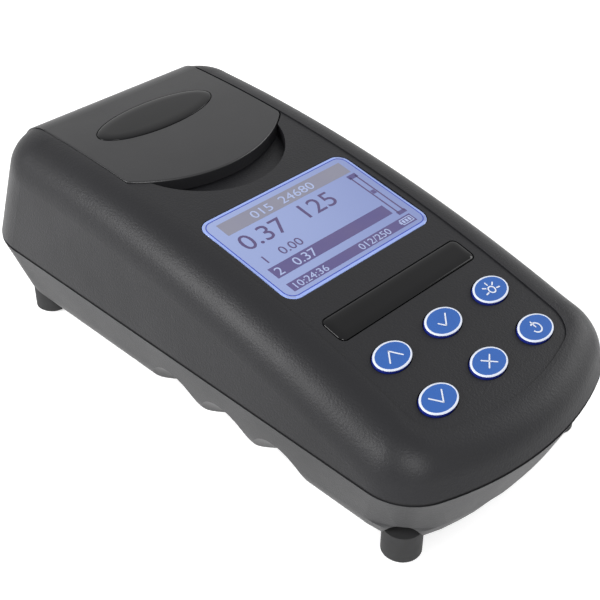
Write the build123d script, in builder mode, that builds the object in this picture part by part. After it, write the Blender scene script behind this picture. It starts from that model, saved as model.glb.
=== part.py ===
from build123d import *

import os
from math import asin, atan, cos, radians, sin, sqrt, tan

# Hand-held bench colorimeter: a hull-shaped lower half, a crowned upper half with large shoulders, a
# hinged lid over the sample chamber, a display window, a blank nameplate and six oval keys.
# X is the width (right +), Y the length (hinge end +, keypad end -), Z up, and z = 0 is the bench.
# All sizes are in millimetres.

# Driving dimensions: the body
body_length = 187.0
body_width = 88.4
body_height = 63.0
foot_height = 1.5
parting_height = 25.6
seal_thickness = 1.0
seal_setback = 0.5
seal_width = 1.6
wall = 2.5
nose_crown_height = 33.4
shoulder_radius = 12.5
side_draft = 3.0
end_draft = 20.0
nose_bow_radius = 90.7
front_corner_radius = 16.0
rear_corner_radius = 18.0

# Driving dimensions: the underside
base_side_tuck = 6.2
base_end_tuck = 9.5
base_edge_radius = 14.0
base_bow_radius = 200.0
base_corner_radius = 17.5
grip_count = 3
grip_pitch = 21.0
grip_depth = 4.2
grip_middle_from_nose = 77.5
foot_radius = 5.0
foot_recess = 0.5
foot_from_side = 27.2
foot_from_end = 33.5

# Driving dimensions: the lid and its hinge
lid_half_width = 30.0
lid_reach = 49.7
lid_front_radius = 46.2
lid_corner_radius = 3.0
lid_thickness = 4.0
lid_gap = 0.35
lid_floor_gap = 0.6
barrel_thickness = 3.6
barrel_end_angle = -3.0
rear_ledge_drop = 1.5
hinge_pin_radius = 1.5
pin_running_clearance = 0.06
pin_fixed_clearance = 0.02
hinge_web_width = 3.6
hinge_arm_width = 6.0
hinge_arm_spacing = 42.0
hinge_arm_height = 8.0
tub_wall = 2.0
notch_radius = 26.5
notch_reach = 10.4
badge_half_length = 21.3
badge_half_width = 7.8
badge_from_hinge = 15.4
badge_thickness = 1.1
badge_recess = 0.8
badge_gap = 0.3
badge_edge_radius = 0.6
lid_edge_radius = 0.5
foam_width = 2.2
foam_depth = 1.5
foam_proud = 0.3

# Driving dimensions: the panel
panel_step = 0.35
panel_front_from_nose = 10.1
panel_bow_radius = 80.0
panel_corner_radius = 9.0
window_width = 56.4
window_height = 36.8
window_corner_radius = 4.0
window_thickness = 1.2
window_from_nose = 81.2
window_gap = 0.15
window_ledge = 1.4
window_sink = 0.3
window_edge = 0.2
nameplate_width = 53.4
nameplate_height = 8.2
nameplate_corner_radius = 1.8
nameplate_thickness = 0.95
nameplate_recess = 1.0
nameplate_gap = 0.35
nameplate_edge_radius = 0.5
nameplate_from_nose = 50.3
key_half_length = 6.1
key_half_width = 4.3
key_pitch_x = 20.0
key_pitch_y = 16.0
keypad_from_nose = 28.25
key_proud = 0.9
key_gap = 0.3
key_travel = 0.8
key_flange_reach = 1.2
key_flange_thickness = 1.0
key_stem_radius = 1.6
key_stem_length = 1.0
key_edge_radius = 0.5

# Driving dimensions: the sample chamber
tube_bore_radius = 12.75
adapter_wall = 1.25
adapter_gap = 0.05
adapter_floor = 3.6
adapter_top_below_deck = 1.6
adapter_screw_radius = 2.0
adapter_screw_head_radius = 3.6
adapter_screw_head_height = 2.0
adapter_screw_sink = 0.2
chamber_from_hinge = 31.2
block_width = 40.0
block_length = 31.6
block_floor = 3.0
block_base_height = 6.0
block_corner_radius = 2.0
gasket_thickness = 1.0
collar_width = 2.0
beam_count = 4
beam_above_floor = 8.0
beam_below_top = 7.8
beam_slot_width = 3.6
emitter_radius = 2.5
emitter_length = 5.2
detector_radius = 2.7
detector_length = 3.6
beam_flange_reach = 0.5
beam_flange_thickness = 1.0
port_gap = 0.1
beam_board_margin = 5.5

# Driving dimensions: boards, battery, socket and fasteners
board_thickness = 1.6
display_thickness = 5.5
display_margin = 2.6
display_rim = 2.4
glass_thickness = 1.8
mat_thickness = 0.8
mat_bump_height = 1.0
mat_bump_radius = 2.6
dome_radius = 3.0
dome_height = 0.35
main_board_depth = 16.0
main_board_width = 68.0
main_board_length = 67.0
battery_width = 42.0
battery_length = 52.0
battery_thickness = 10.0
battery_from_nose = 59.5
battery_pad_thickness = 0.8
strap_thickness = 1.2
strap_width = 14.0
strap_foot = 9.0
strap_foot_height = 4.2
ribbon_width = 22.0
ribbon_thickness = 0.3
socket_width = 7.7
socket_height = 3.9
socket_length = 9.2
socket_wall = 0.5
socket_mouth_depth = 6.0
socket_board_rise = 1.5
socket_board_width = 28.0
socket_board_length = 17.0
socket_gap = 0.5
well_radius = 5.5
well_depth = 12.0
well_from_side = 10.7
front_well_from_nose = 18.0
rear_well_from_tail = 20.0
boss_radius = 4.0
screw_radius = 1.5
screw_head_radius = 2.8
screw_head_height = 2.2
screw_clearance = 0.2
insert_radius = 2.1
insert_length = 5.0
stud_radius = 1.1
stud_length = 5.0
stud_head_radius = 2.0
stud_head_height = 1.4
stud_boss_radius = 2.8
board_edge = 4.0
seat_gap = 0.1

key_names = ["key_up", "key_enter", "key_light", "key_down", "key_exit", "key_power"]

# Places worked out from the driving dimensions
half_length = body_length / 2
half_width = body_width / 2
nose_y = -half_length
tail_y = half_length
base_z = foot_height
lower_rim_z = parting_height - seal_thickness / 2
upper_rim_z = parting_height + seal_thickness / 2
hinge_z = body_height - shoulder_radius
tail_slope = tan(radians(end_draft))
hinge_y = tail_y - (hinge_z - upper_rim_z) * tail_slope - shoulder_radius / cos(radians(end_draft))
crown_drop = body_height - nose_crown_height
crown_radius = ((hinge_y - nose_y) ** 2 + crown_drop**2) / (2 * crown_drop)
crown_centre_z = body_height - crown_radius
pocket_half_width = lid_half_width + lid_gap
pocket_radius = shoulder_radius + lid_gap
panel_half_width = pocket_half_width
deck_depth = lid_thickness + lid_floor_gap
lid_front_y = hinge_y - lid_reach
notch_centre_y = lid_front_y - notch_reach + notch_radius
chamber_y = hinge_y - chamber_from_hinge
adapter_radius = tube_bore_radius + adapter_wall
chamber_radius = adapter_radius + adapter_gap
inner_floor_z = base_z + wall


def crown_height(y, depth=0.0):
    """Height of the crown at y, less a depth below it."""
    radius = crown_radius - depth
    return crown_centre_z + sqrt(radius**2 - (y - hinge_y) ** 2)


def crown_plane(y, depth=0.0):
    """Plane that touches the crown at y, or lies below it by a depth, with its normal outwards."""
    tilt = asin((hinge_y - y) / crown_radius)
    normal = Vector(0, -sin(tilt), cos(tilt))
    return Plane(Vector(0, y, crown_height(y)) - normal * depth, x_dir=(1, 0, 0), z_dir=normal)


def outward(plane):
    """Axis along the normal of a plane, to sort faces by."""
    return Axis(plane.origin, plane.z_dir)


def crown_band(top_depth, bottom_depth, y_from, y_to, half_span):
    """Slab that follows the crown between two depths below it."""
    y_mid = (y_from + y_to) / 2
    with BuildPart() as band:
        with BuildSketch(Plane.YZ):
            with BuildLine():
                top = ThreePointArc(*[(y, crown_height(y, top_depth)) for y in (y_from, y_mid, y_to)])
                low = ThreePointArc(*[(y, crown_height(y, bottom_depth)) for y in (y_from, y_mid, y_to)])
                Line(top @ 0, low @ 0)
                Line(top @ 1, low @ 1)
            make_face()
        extrude(amount=half_span, both=True)
    return band.part


def body_outline(side, tail, nose, bow_radius, tail_radius, nose_radius):
    """Plan of the body: straight sides and tail, bowed nose, rounded corners."""
    corner_y = nose + bow_radius - sqrt(bow_radius**2 - side**2)
    with BuildSketch() as outline:
        with BuildLine():
            ThreePointArc((-side, corner_y), (0, nose), (side, corner_y))
            Polyline((side, corner_y), (side, tail), (-side, tail), (-side, corner_y))
        make_face()
        fillet(outline.vertices().group_by(Axis.Y)[-1], tail_radius)
        fillet(outline.vertices().group_by(Axis.Y)[0], nose_radius)
    return outline.sketch


def rim_outline(inset):
    """Plan of the body where the two halves meet, moved inwards."""
    return body_outline(
        half_width - inset,
        tail_y - inset,
        nose_y + inset,
        nose_bow_radius - inset,
        rear_corner_radius - inset,
        front_corner_radius - inset,
    )


def upper_form(inset):
    """Outer form of the upper half, or the same form inset by a wall."""
    rise = body_height + 3.0 - upper_rim_z
    side_loss = rise * tan(radians(side_draft))
    end_loss = rise * tail_slope
    low = rim_outline(inset)
    high = body_outline(
        half_width - inset - side_loss,
        tail_y - inset - end_loss,
        nose_y + inset + end_loss,
        nose_bow_radius - inset,
        rear_corner_radius - inset - 2,
        front_corner_radius - inset - 1,
    )
    under_crown = crown_band(inset, crown_radius / 2, nose_y - 5, tail_y + 5, body_width)
    with BuildPart() as form:
        with BuildSketch(Plane.XY.offset(upper_rim_z)):
            add(low)
        with BuildSketch(Plane.XY.offset(upper_rim_z + rise)):
            add(high)
        loft()
        add(under_crown, mode=Mode.INTERSECT)
        crown_face = form.faces().sort_by(Axis.Z)[-1]
        fillet(crown_face.edges(), shoulder_radius - inset)
    return form.part


def lower_form(inset):
    """Outer form of the lower half, or the same form inset by a wall."""
    bottom = base_z + inset
    low = body_outline(
        half_width - base_side_tuck - inset,
        tail_y - base_end_tuck - inset,
        nose_y + base_end_tuck + inset,
        base_bow_radius - inset,
        base_corner_radius - inset,
        base_corner_radius - inset,
    )
    high = rim_outline(inset)
    with BuildPart() as form:
        with BuildSketch(Plane.XY.offset(bottom)):
            add(low)
        with BuildSketch(Plane.XY.offset(lower_rim_z)):
            add(high)
        loft()
        bottom_face = form.faces().sort_by(Axis.Z)[0]
        fillet(bottom_face.edges(), base_edge_radius - inset)
    return form.part


def grip_grooves(grow):
    """Finger grooves round the lower edges of both sides, or their outsides with a wall."""
    radius = ((grip_pitch / 2) ** 2 + grip_depth**2) / (2 * grip_depth)
    lean = atan(base_side_tuck / (lower_rim_z - base_z))
    round_x = half_width - base_side_tuck + base_edge_radius * (tan(lean) - 1 / cos(lean))
    edge_x = round_x + base_edge_radius * cos(radians(45))
    edge_z = base_z + base_edge_radius * (1 - sin(radians(45)))
    reach = (radius - grip_depth) * cos(radians(45))
    middle_y = nose_y + grip_middle_from_nose
    with BuildPart() as grooves:
        for side in (-1, 1):
            centre = Vector(side * (edge_x + reach), middle_y, edge_z - reach)
            across = Plane(centre, x_dir=(0, 1, 0), z_dir=(side, 0, 1))
            with BuildSketch(across):
                with GridLocations(grip_pitch, 0, grip_count, 1):
                    Circle(radius + grow)
            extrude(amount=body_height / 2, both=True)
    return grooves.part


def lid_plan(grow):
    """Plan of the lid, or of the pocket that it lies in."""
    side = lid_half_width + grow
    front_y = lid_front_y - grow
    radius = lid_front_radius + grow
    corner_y = front_y + radius - sqrt(radius**2 - side**2)
    back_y = tail_y
    with BuildSketch() as plan:
        with BuildLine():
            ThreePointArc((-side, corner_y), (0, front_y), (side, corner_y))
            Polyline((side, corner_y), (side, back_y), (-side, back_y), (-side, corner_y))
        make_face()
        fillet(plan.vertices().group_by(Axis.Y)[0], lid_corner_radius + grow)
    return plan.sketch


def hinge_cylinder(radius, half_span):
    """Solid cylinder about the hinge axis."""
    with BuildPart() as cylinder:
        with BuildSketch(Plane.YZ):
            with Locations((hinge_y, hinge_z)):
                Circle(radius)
        extrude(amount=half_span, both=True)
    return cylinder.part


def lid_space(grow):
    """Room for the lid in the upper half, or the same room with a wall round it."""
    plan = lid_plan(lid_gap + grow)
    band = crown_band(-shoulder_radius, deck_depth + grow, nose_y, hinge_y, body_width)
    with BuildPart() as room:
        with BuildSketch(Plane.XY):
            add(plan)
        extrude(amount=body_height * 2)
        add(band, mode=Mode.INTERSECT)
        add(hinge_cylinder(pocket_radius + grow, pocket_half_width + grow))
    return room.part


def finger_notch(grow):
    """Crescent scoop in front of the lid, or the same scoop with a wall round it."""
    band = crown_band(-shoulder_radius, deck_depth + grow, nose_y, hinge_y, body_width)
    with BuildPart() as notch:
        with BuildSketch(Plane.XY):
            with Locations((0, notch_centre_y)):
                Circle(notch_radius + grow)
        extrude(amount=body_height * 2)
        add(band, mode=Mode.INTERSECT)
    return notch.part


def panel_plan():
    """Plan of the shallow panel, from its bowed front to under the lid."""
    front_y = nose_y + panel_front_from_nose
    corner_y = front_y + panel_bow_radius - sqrt(panel_bow_radius**2 - panel_half_width**2)
    side = panel_half_width
    with BuildSketch() as plan:
        with BuildLine():
            ThreePointArc((-side, corner_y), (0, front_y), (side, corner_y))
            Polyline((side, corner_y), (side, chamber_y), (-side, chamber_y), (-side, corner_y))
        make_face()
        fillet(plan.vertices().group_by(Axis.Y)[0], panel_corner_radius)
    return plan.sketch


def key_places():
    """Key centres in the plane of the keypad, from the left of the row nearer the display."""
    rows = (key_pitch_y / 2, -key_pitch_y / 2)
    return [(column * key_pitch_x, row) for row in rows for column in (-1, 0, 1)]


def well_places():
    """Plan places of the four housing screws."""
    rows = (nose_y + front_well_from_nose, tail_y - rear_well_from_tail)
    return [(side * (half_width - well_from_side), row) for row in rows for side in (-1, 1)]


def foot_places():
    """Plan places of the four feet."""
    x = half_width - foot_from_side
    y = half_length - foot_from_end
    return [(side * x, end * y) for end in (-1, 1) for side in (-1, 1)]


def save(part, name):
    """Label a finished piece and write it as one STEP file."""
    part.label = name
    export_step(part, f"parts/{name}.step")


os.makedirs("parts", exist_ok=True)

# Planes of the panel: each touches the crown, with local y up the slope towards the hinge
window_plane = crown_plane(nose_y + window_from_nose, panel_step + window_sink)
nameplate_plane = crown_plane(nose_y + nameplate_from_nose)
key_plane = crown_plane(nose_y + keypad_from_nose, panel_step)
badge_plane = crown_plane(hinge_y - badge_from_hinge)
deck_z = crown_height(chamber_y, deck_depth)

# Depths below the panel at the keypad
panel_underside = wall - panel_step
key_flange_top = panel_underside + key_gap
key_flange_bottom = key_flange_top + key_flange_thickness
key_stem_bottom = key_flange_bottom + key_stem_length
mat_bump_top = key_stem_bottom + key_travel + key_gap
mat_top = mat_bump_top + mat_bump_height
keypad_board_top = mat_top + mat_thickness
keypad_board_bottom = keypad_board_top + board_thickness
keypad_board_width = 2 * (key_pitch_x + key_half_length + key_flange_reach)
keypad_board_height = key_pitch_y + 2 * (key_half_width + key_flange_reach + 2 * stud_boss_radius)
keypad_mat_width = keypad_board_width - board_edge
keypad_mat_height = key_pitch_y + 2 * (dome_radius + key_flange_reach)
keypad_stud_x = key_pitch_x / 2
keypad_stud_y = keypad_board_height / 2 - stud_boss_radius

# Depths below the window's outer face
window_floor = window_thickness + seat_gap
display_width = window_width + display_margin
display_height = window_height + display_margin
display_sag = (display_height / 2) ** 2 / (2 * crown_radius)
display_top = wall - panel_step - window_sink + display_sag + seat_gap
display_bottom = display_top + display_thickness

# Heights in the sample chamber
block_top = crown_height(lid_front_y, deck_depth) - tub_wall - gasket_thickness - collar_width / 2
collar_bottom = block_top + gasket_thickness
bore_floor = block_base_height + block_floor
adapter_top = deck_z - adapter_top_below_deck
first_beam_height = bore_floor + beam_above_floor
last_beam_height = block_top - beam_below_top
beam_pitch = (last_beam_height - first_beam_height) / (beam_count - 1)
beam_heights = [first_beam_height + n * beam_pitch for n in range(beam_count)]
beam_middle = (first_beam_height + last_beam_height) / 2
adapter_floor_z = bore_floor + adapter_floor
adapter_seat_z = adapter_floor_z - adapter_screw_head_height - adapter_screw_sink
beam_stud_places = [
    (chamber_y + side * (block_length / 2 - board_edge), beam_middle) for side in (-1, 1)
]
socket_board_height = upper_rim_z + socket_board_rise
socket_top = socket_board_height + board_thickness + socket_height
socket_face_y = tail_y - (socket_top - upper_rim_z) * tail_slope - socket_gap
socket_stud_x = socket_board_width / 2 - board_edge
socket_board_y = socket_face_y - socket_length
socket_stud_y = socket_board_y - socket_board_length / 2 + board_edge

# Heights and places in the two halves
well_top = base_z + well_depth
boss_bottom = lower_rim_z
battery_y = nose_y + battery_from_nose
battery_bottom = inner_floor_z + battery_pad_thickness
battery_top = battery_bottom + battery_thickness
strap_stud_y = battery_length / 2 + strap_foot / 2 + strap_thickness
strap_foot_z = inner_floor_z + strap_foot_height
block_post_x = block_width / 2 - stud_boss_radius
block_post_y = block_length / 2 - stud_boss_radius
main_board_y = nose_y + window_from_nose
main_board_height = crown_height(main_board_y - main_board_length / 2) - main_board_depth
main_board_top = main_board_height + board_thickness
main_stud_x = main_board_width / 2 - board_edge
main_stud_y = main_board_length / 2 - board_edge

# Lower housing: a hull with finger grooves, screw wells and posts for what it carries
with BuildPart() as lower_cavity:
    add(lower_form(wall))
    add(grip_grooves(wall), mode=Mode.SUBTRACT)
    with BuildSketch(Plane.XY):
        with Locations(*well_places()):
            Circle(well_radius + wall)
    extrude(amount=well_top + wall, mode=Mode.SUBTRACT)
    with BuildSketch(Plane.XY):
        with Locations(*well_places()):
            Circle(boss_radius)
    extrude(amount=body_height, mode=Mode.SUBTRACT)

with BuildPart() as lower_housing:
    add(lower_form(0))
    add(lower_cavity.part, mode=Mode.SUBTRACT)
    add(grip_grooves(0), mode=Mode.SUBTRACT)
    with BuildSketch(Plane.XY):
        with Locations(*well_places()):
            Circle(well_radius)
    extrude(amount=well_top, mode=Mode.SUBTRACT)
    with BuildSketch(Plane.XY):
        with Locations(*well_places()):
            Circle(screw_radius + screw_clearance)
    extrude(amount=body_height, mode=Mode.SUBTRACT)
    with BuildSketch(Plane.XY):
        with Locations(*foot_places()):
            Circle(foot_radius + seat_gap)
    extrude(amount=base_z + foot_recess, mode=Mode.SUBTRACT)
    # Posts under the optics block
    with BuildSketch(Plane.XY.offset(inner_floor_z)):
        with Locations((0, chamber_y)):
            with GridLocations(2 * block_post_x, 2 * block_post_y, 2, 2):
                Circle(stud_boss_radius)
    extrude(amount=block_base_height - inner_floor_z)
    # Bosses for the battery strap and the socket board
    with BuildSketch(Plane.XY.offset(inner_floor_z)):
        with Locations((0, battery_y)):
            with GridLocations(0, 2 * strap_stud_y, 1, 2):
                Circle(stud_boss_radius)
                Circle(stud_radius + seat_gap, mode=Mode.SUBTRACT)
    extrude(amount=strap_foot_z - inner_floor_z)
    with BuildSketch(Plane.XY.offset(inner_floor_z)):
        with Locations((0, socket_stud_y)):
            with GridLocations(2 * socket_stud_x, 0, 2, 1):
                Circle(stud_boss_radius)
                Circle(stud_radius + seat_gap, mode=Mode.SUBTRACT)
    extrude(amount=socket_board_height - inner_floor_z)
save(lower_housing.part, "lower_housing")

# Seal between the halves, set back from their faces so that it shows as a dark groove
with BuildPart() as housing_seal:
    with BuildSketch(Plane.XY.offset(lower_rim_z)):
        add(rim_outline(seal_setback))
        add(rim_outline(seal_setback + seal_width), mode=Mode.SUBTRACT)
    extrude(amount=seal_thickness)
save(housing_seal.part, "housing_seal")

# Upper housing: crowned shell with the lid's tub, finger notch, chamber collar, window and keypad
with BuildPart() as upper_cavity:
    add(upper_form(wall))
    add(lid_space(tub_wall), mode=Mode.SUBTRACT)
    add(finger_notch(tub_wall), mode=Mode.SUBTRACT)

with BuildPart() as panel_cut:
    with BuildSketch(Plane.XY):
        add(panel_plan())
    extrude(amount=body_height * 2)
    add(crown_band(-shoulder_radius, panel_step, nose_y, hinge_y, body_width), mode=Mode.INTERSECT)

with BuildPart() as upper_housing:
    add(upper_form(0))
    add(upper_cavity.part, mode=Mode.SUBTRACT)
    # Bosses for the housing screws, the main board and the keypad board
    with BuildSketch(Plane.XY.offset(upper_rim_z)):
        with Locations(*well_places()):
            Circle(boss_radius)
    extrude(until=Until.NEXT, target=upper_housing.part)
    with BuildSketch(Plane.XY.offset(boss_bottom)):
        with Locations(*well_places()):
            Circle(boss_radius)
    extrude(amount=seal_thickness)
    with BuildSketch(Plane.XY.offset(main_board_top)):
        with Locations((0, main_board_y)):
            with GridLocations(2 * main_stud_x, 2 * main_stud_y, 2, 2):
                Circle(stud_boss_radius)
    extrude(until=Until.NEXT, target=upper_housing.part)
    with BuildSketch(key_plane.offset(-keypad_board_top)):
        with GridLocations(2 * keypad_stud_x, 2 * keypad_stud_y, 2, 2):
            Circle(stud_boss_radius)
    extrude(until=Until.NEXT, target=upper_housing.part)
    with BuildSketch(Plane.XY.offset(boss_bottom)):
        with Locations(*well_places()):
            Circle(insert_radius)
    extrude(amount=insert_length, mode=Mode.SUBTRACT)
    with BuildSketch(Plane.XY.offset(main_board_top)):
        with Locations((0, main_board_y)):
            with GridLocations(2 * main_stud_x, 2 * main_stud_y, 2, 2):
                Circle(stud_radius + seat_gap)
    extrude(amount=stud_length, mode=Mode.SUBTRACT)
    with BuildSketch(key_plane.offset(-keypad_board_top)):
        with GridLocations(2 * keypad_stud_x, 2 * keypad_stud_y, 2, 2):
            Circle(stud_radius + seat_gap)
    extrude(amount=stud_length - board_thickness, mode=Mode.SUBTRACT)
    # Collar from the deck down to the gasket of the optics block
    with BuildSketch(Plane.XY.offset(collar_bottom)):
        with Locations((0, chamber_y)):
            Circle(chamber_radius + collar_width)
    extrude(amount=deck_z - collar_bottom - lid_floor_gap)
    with BuildSketch(Plane.XY.offset(collar_bottom)):
        with Locations((0, chamber_y)):
            Circle(chamber_radius + seat_gap)
    extrude(amount=body_height, mode=Mode.SUBTRACT)
    # Room for the lid, its barrel and a fingertip, and the ledge behind the barrel
    add(lid_space(0), mode=Mode.SUBTRACT)
    add(finger_notch(0), mode=Mode.SUBTRACT)
    with BuildSketch(Plane.XY.offset(hinge_z - rear_ledge_drop)):
        with Locations((0, hinge_y)):
            Rectangle(2 * pocket_half_width, body_length, align=(Align.CENTER, Align.MIN))
    extrude(amount=body_height, mode=Mode.SUBTRACT)
    # Arms that hold the hinge pin
    for side in (-1, 1):
        with BuildSketch(Plane.YZ.offset(side * hinge_arm_spacing / 2)):
            with Locations((hinge_y, hinge_z)):
                Circle(hinge_arm_height / 2)
                Rectangle(
                    pocket_radius + tub_wall / 2,
                    hinge_arm_height,
                    align=(Align.MAX, Align.CENTER),
                )
        extrude(amount=hinge_arm_width / 2, both=True)
    add(hinge_cylinder(hinge_pin_radius + pin_fixed_clearance, pocket_half_width), mode=Mode.SUBTRACT)
    # Shallow panel, window with its ledge, nameplate recess, key holes and socket opening
    add(panel_cut.part, mode=Mode.SUBTRACT)
    with BuildSketch(window_plane.offset(-window_floor)):
        RectangleRounded(
            window_width + 2 * window_gap,
            window_height + 2 * window_gap,
            window_corner_radius + window_gap,
        )
    extrude(amount=body_height, mode=Mode.SUBTRACT)
    with BuildSketch(window_plane.offset(-2 * wall)):
        RectangleRounded(
            window_width - 2 * window_ledge,
            window_height - 2 * window_ledge,
            window_corner_radius - window_ledge,
        )
    extrude(amount=body_height, mode=Mode.SUBTRACT)
    with BuildSketch(nameplate_plane.offset(-nameplate_recess)):
        RectangleRounded(
            nameplate_width + 2 * nameplate_gap,
            nameplate_height + 2 * nameplate_gap,
            nameplate_corner_radius + nameplate_gap,
        )
    extrude(amount=body_height, mode=Mode.SUBTRACT)
    with BuildSketch(key_plane.offset(-2 * wall)):
        with Locations(*key_places()):
            Ellipse(key_half_length + key_gap, key_half_width + key_gap)
    extrude(amount=body_height, mode=Mode.SUBTRACT)
    with BuildSketch(Plane.XZ.offset(-tail_y)):
        with Locations((0, socket_top - socket_height / 2)):
            RectangleRounded(
                socket_width + 2 * socket_gap, socket_height + 2 * socket_gap, 2 * socket_gap
            )
    extrude(amount=socket_length, mode=Mode.SUBTRACT)
save(upper_housing.part, "upper_housing")

# Lid: crowned plate, barrel round the hinge, webs for the pin, recess for the badge, foam groove
with BuildPart() as foam_ring:
    with BuildSketch(Plane.XY):
        with Locations((0, chamber_y)):
            Circle(chamber_radius + lid_floor_gap + foam_width)
            Circle(chamber_radius + lid_floor_gap, mode=Mode.SUBTRACT)
    extrude(amount=body_height * 2)

with BuildPart() as chamber_lid:
    with BuildSketch(Plane.XY):
        add(lid_plan(0))
    extrude(amount=body_height * 2)
    add(crown_band(0, lid_thickness, nose_y, hinge_y, body_width), mode=Mode.INTERSECT)
    top_face = chamber_lid.faces().sort_by(Axis.Z)[-1]
    rim_edges = top_face.edges().filter_by(lambda edge: (edge @ 0.5).Y < hinge_y - 1)
    fillet(rim_edges, lid_edge_radius)
    with BuildSketch(Plane.YZ):
        with BuildLine():
            outer = CenterArc(
                (hinge_y, hinge_z), shoulder_radius, barrel_end_angle, 90 - barrel_end_angle
            )
            inner = CenterArc(
                (hinge_y, hinge_z),
                shoulder_radius - barrel_thickness,
                barrel_end_angle,
                90 - barrel_end_angle,
            )
            Line(outer @ 0, inner @ 0)
            Line(outer @ 1, inner @ 1)
        make_face()
    extrude(amount=lid_half_width, both=True)
    for side in (-1, 1):
        with BuildSketch(Plane.YZ.offset(side * (lid_half_width - hinge_web_width / 2))):
            with Locations((hinge_y, hinge_z)):
                Circle(shoulder_radius - barrel_thickness + hinge_web_width / 6)
        extrude(amount=hinge_web_width / 2, both=True)
    add(hinge_cylinder(hinge_pin_radius + pin_running_clearance, body_width), mode=Mode.SUBTRACT)
    with BuildSketch(badge_plane.offset(-badge_recess)):
        Ellipse(badge_half_length + badge_gap, badge_half_width + badge_gap)
    extrude(amount=body_height, mode=Mode.SUBTRACT)
    foam_groove = foam_ring.part & crown_band(
        lid_thickness - foam_depth + foam_proud, 2 * lid_thickness, nose_y, hinge_y, body_width
    )
    add(foam_groove, mode=Mode.SUBTRACT)
save(chamber_lid.part, "chamber_lid")

with BuildPart() as lid_light_seal:
    add(foam_ring.part)
    add(
        crown_band(
            lid_thickness - foam_depth + foam_proud,
            lid_thickness + foam_proud,
            nose_y,
            hinge_y,
            body_width,
        ),
        mode=Mode.INTERSECT,
    )
save(lid_light_seal.part, "lid_light_seal")

with BuildPart() as lid_badge:
    with BuildSketch(badge_plane.offset(-badge_recess)):
        Ellipse(badge_half_length, badge_half_width)
    extrude(amount=badge_thickness)
    fillet(lid_badge.faces().sort_by(outward(badge_plane))[-1].edges(), badge_edge_radius)
save(lid_badge.part, "lid_badge")

with BuildPart() as hinge_pin:
    add(hinge_cylinder(hinge_pin_radius, lid_half_width - lid_gap))
save(hinge_pin.part, "hinge_pin")

# Window and nameplate
with BuildPart() as display_window:
    with BuildSketch(window_plane.offset(-window_thickness)):
        RectangleRounded(window_width, window_height, window_corner_radius)
    extrude(amount=window_thickness)
    chamfer(display_window.faces().sort_by(outward(window_plane))[-1].edges(), window_edge)
save(display_window.part, "display_window")

with BuildPart() as nameplate:
    with BuildSketch(nameplate_plane.offset(-nameplate_recess)):
        RectangleRounded(nameplate_width, nameplate_height, nameplate_corner_radius)
    extrude(amount=nameplate_thickness)
    fillet(nameplate.faces().sort_by(outward(nameplate_plane))[-1].edges(), nameplate_edge_radius)
save(nameplate.part, "nameplate")

# Keys: an oval cap through the panel, a flange that holds it in and a stem that presses the mat
for key_name, key_place in zip(key_names, key_places()):
    with BuildPart() as key:
        with BuildSketch(key_plane.offset(-key_flange_bottom)):
            with Locations(key_place):
                Ellipse(key_half_length, key_half_width)
        extrude(amount=key_flange_bottom + key_proud)
        fillet(key.faces().sort_by(outward(key_plane))[-1].edges(), key_edge_radius)
        with BuildSketch(key_plane.offset(-key_flange_bottom)):
            with Locations(key_place):
                Ellipse(key_half_length + key_flange_reach, key_half_width + key_flange_reach)
        extrude(amount=key_flange_thickness)
        with BuildSketch(key_plane.offset(-key_stem_bottom)):
            with Locations(key_place):
                Circle(key_stem_radius)
        extrude(amount=key_stem_length)
    save(key.part, key_name)

# Keypad mat with a bump under each stem, and pockets over the dome switches
with BuildPart() as keypad_mat:
    with BuildSketch(key_plane.offset(-keypad_board_top)):
        RectangleRounded(keypad_mat_width, keypad_mat_height, mat_bump_radius)
    extrude(amount=mat_thickness)
    with BuildSketch(key_plane.offset(-mat_top)):
        with Locations(*key_places()):
            Circle(mat_bump_radius)
    extrude(amount=mat_bump_height, taper=20)
    with BuildSketch(key_plane.offset(-keypad_board_top)):
        with Locations(*key_places()):
            Circle(dome_radius + seat_gap)
    extrude(amount=dome_height + seat_gap, mode=Mode.SUBTRACT)
save(keypad_mat.part, "keypad_mat")

with BuildPart() as dome_switches:
    with BuildSketch(key_plane.offset(-keypad_board_top)):
        with Locations(*key_places()):
            Circle(dome_radius)
    extrude(amount=dome_height, taper=45)
save(dome_switches.part, "dome_switches")

with BuildPart() as keypad_board:
    with BuildSketch(key_plane.offset(-keypad_board_bottom)):
        RectangleRounded(keypad_board_width, keypad_board_height, board_edge / 2)
        with GridLocations(2 * keypad_stud_x, 2 * keypad_stud_y, 2, 2):
            Circle(stud_radius + seat_gap, mode=Mode.SUBTRACT)
    extrude(amount=board_thickness)
save(keypad_board.part, "keypad_board")


def studs(plane, places):
    """Small screws whose heads stand out of a plane along its normal."""
    with BuildPart() as group:
        with BuildSketch(plane):
            with Locations(*places):
                Circle(stud_head_radius)
        extrude(amount=stud_head_height)
        with BuildSketch(plane):
            with Locations(*places):
                Circle(stud_radius)
        extrude(amount=-(stud_length - seat_gap))
    return group.part


def grid(x_reach, y_reach, centre=(0, 0)):
    """The corners of a rectangle, or the ends of a line, as a list of places."""
    xs = (-x_reach, x_reach) if x_reach else (0,)
    ys = (-y_reach, y_reach) if y_reach else (0,)
    return [(centre[0] + x, centre[1] + y) for x in xs for y in ys]


below_keypad = key_plane.offset(-keypad_board_bottom)
keypad_screws = studs(
    Plane(below_keypad.origin, x_dir=(1, 0, 0), z_dir=-below_keypad.z_dir),
    grid(keypad_stud_x, keypad_stud_y),
)
save(keypad_screws, "keypad_screws")

# Display: a frame with a glass in it, and a flat ribbon down to the main board
with BuildPart() as display_frame:
    with BuildSketch(window_plane.offset(-display_bottom)):
        RectangleRounded(display_width, display_height, window_corner_radius / 2)
    extrude(amount=display_thickness)
    with BuildSketch(window_plane.offset(-display_top)):
        Rectangle(display_width - 2 * display_rim, display_height - 2 * display_rim)
    extrude(amount=-glass_thickness, mode=Mode.SUBTRACT)
save(display_frame.part, "display_frame")

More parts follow.
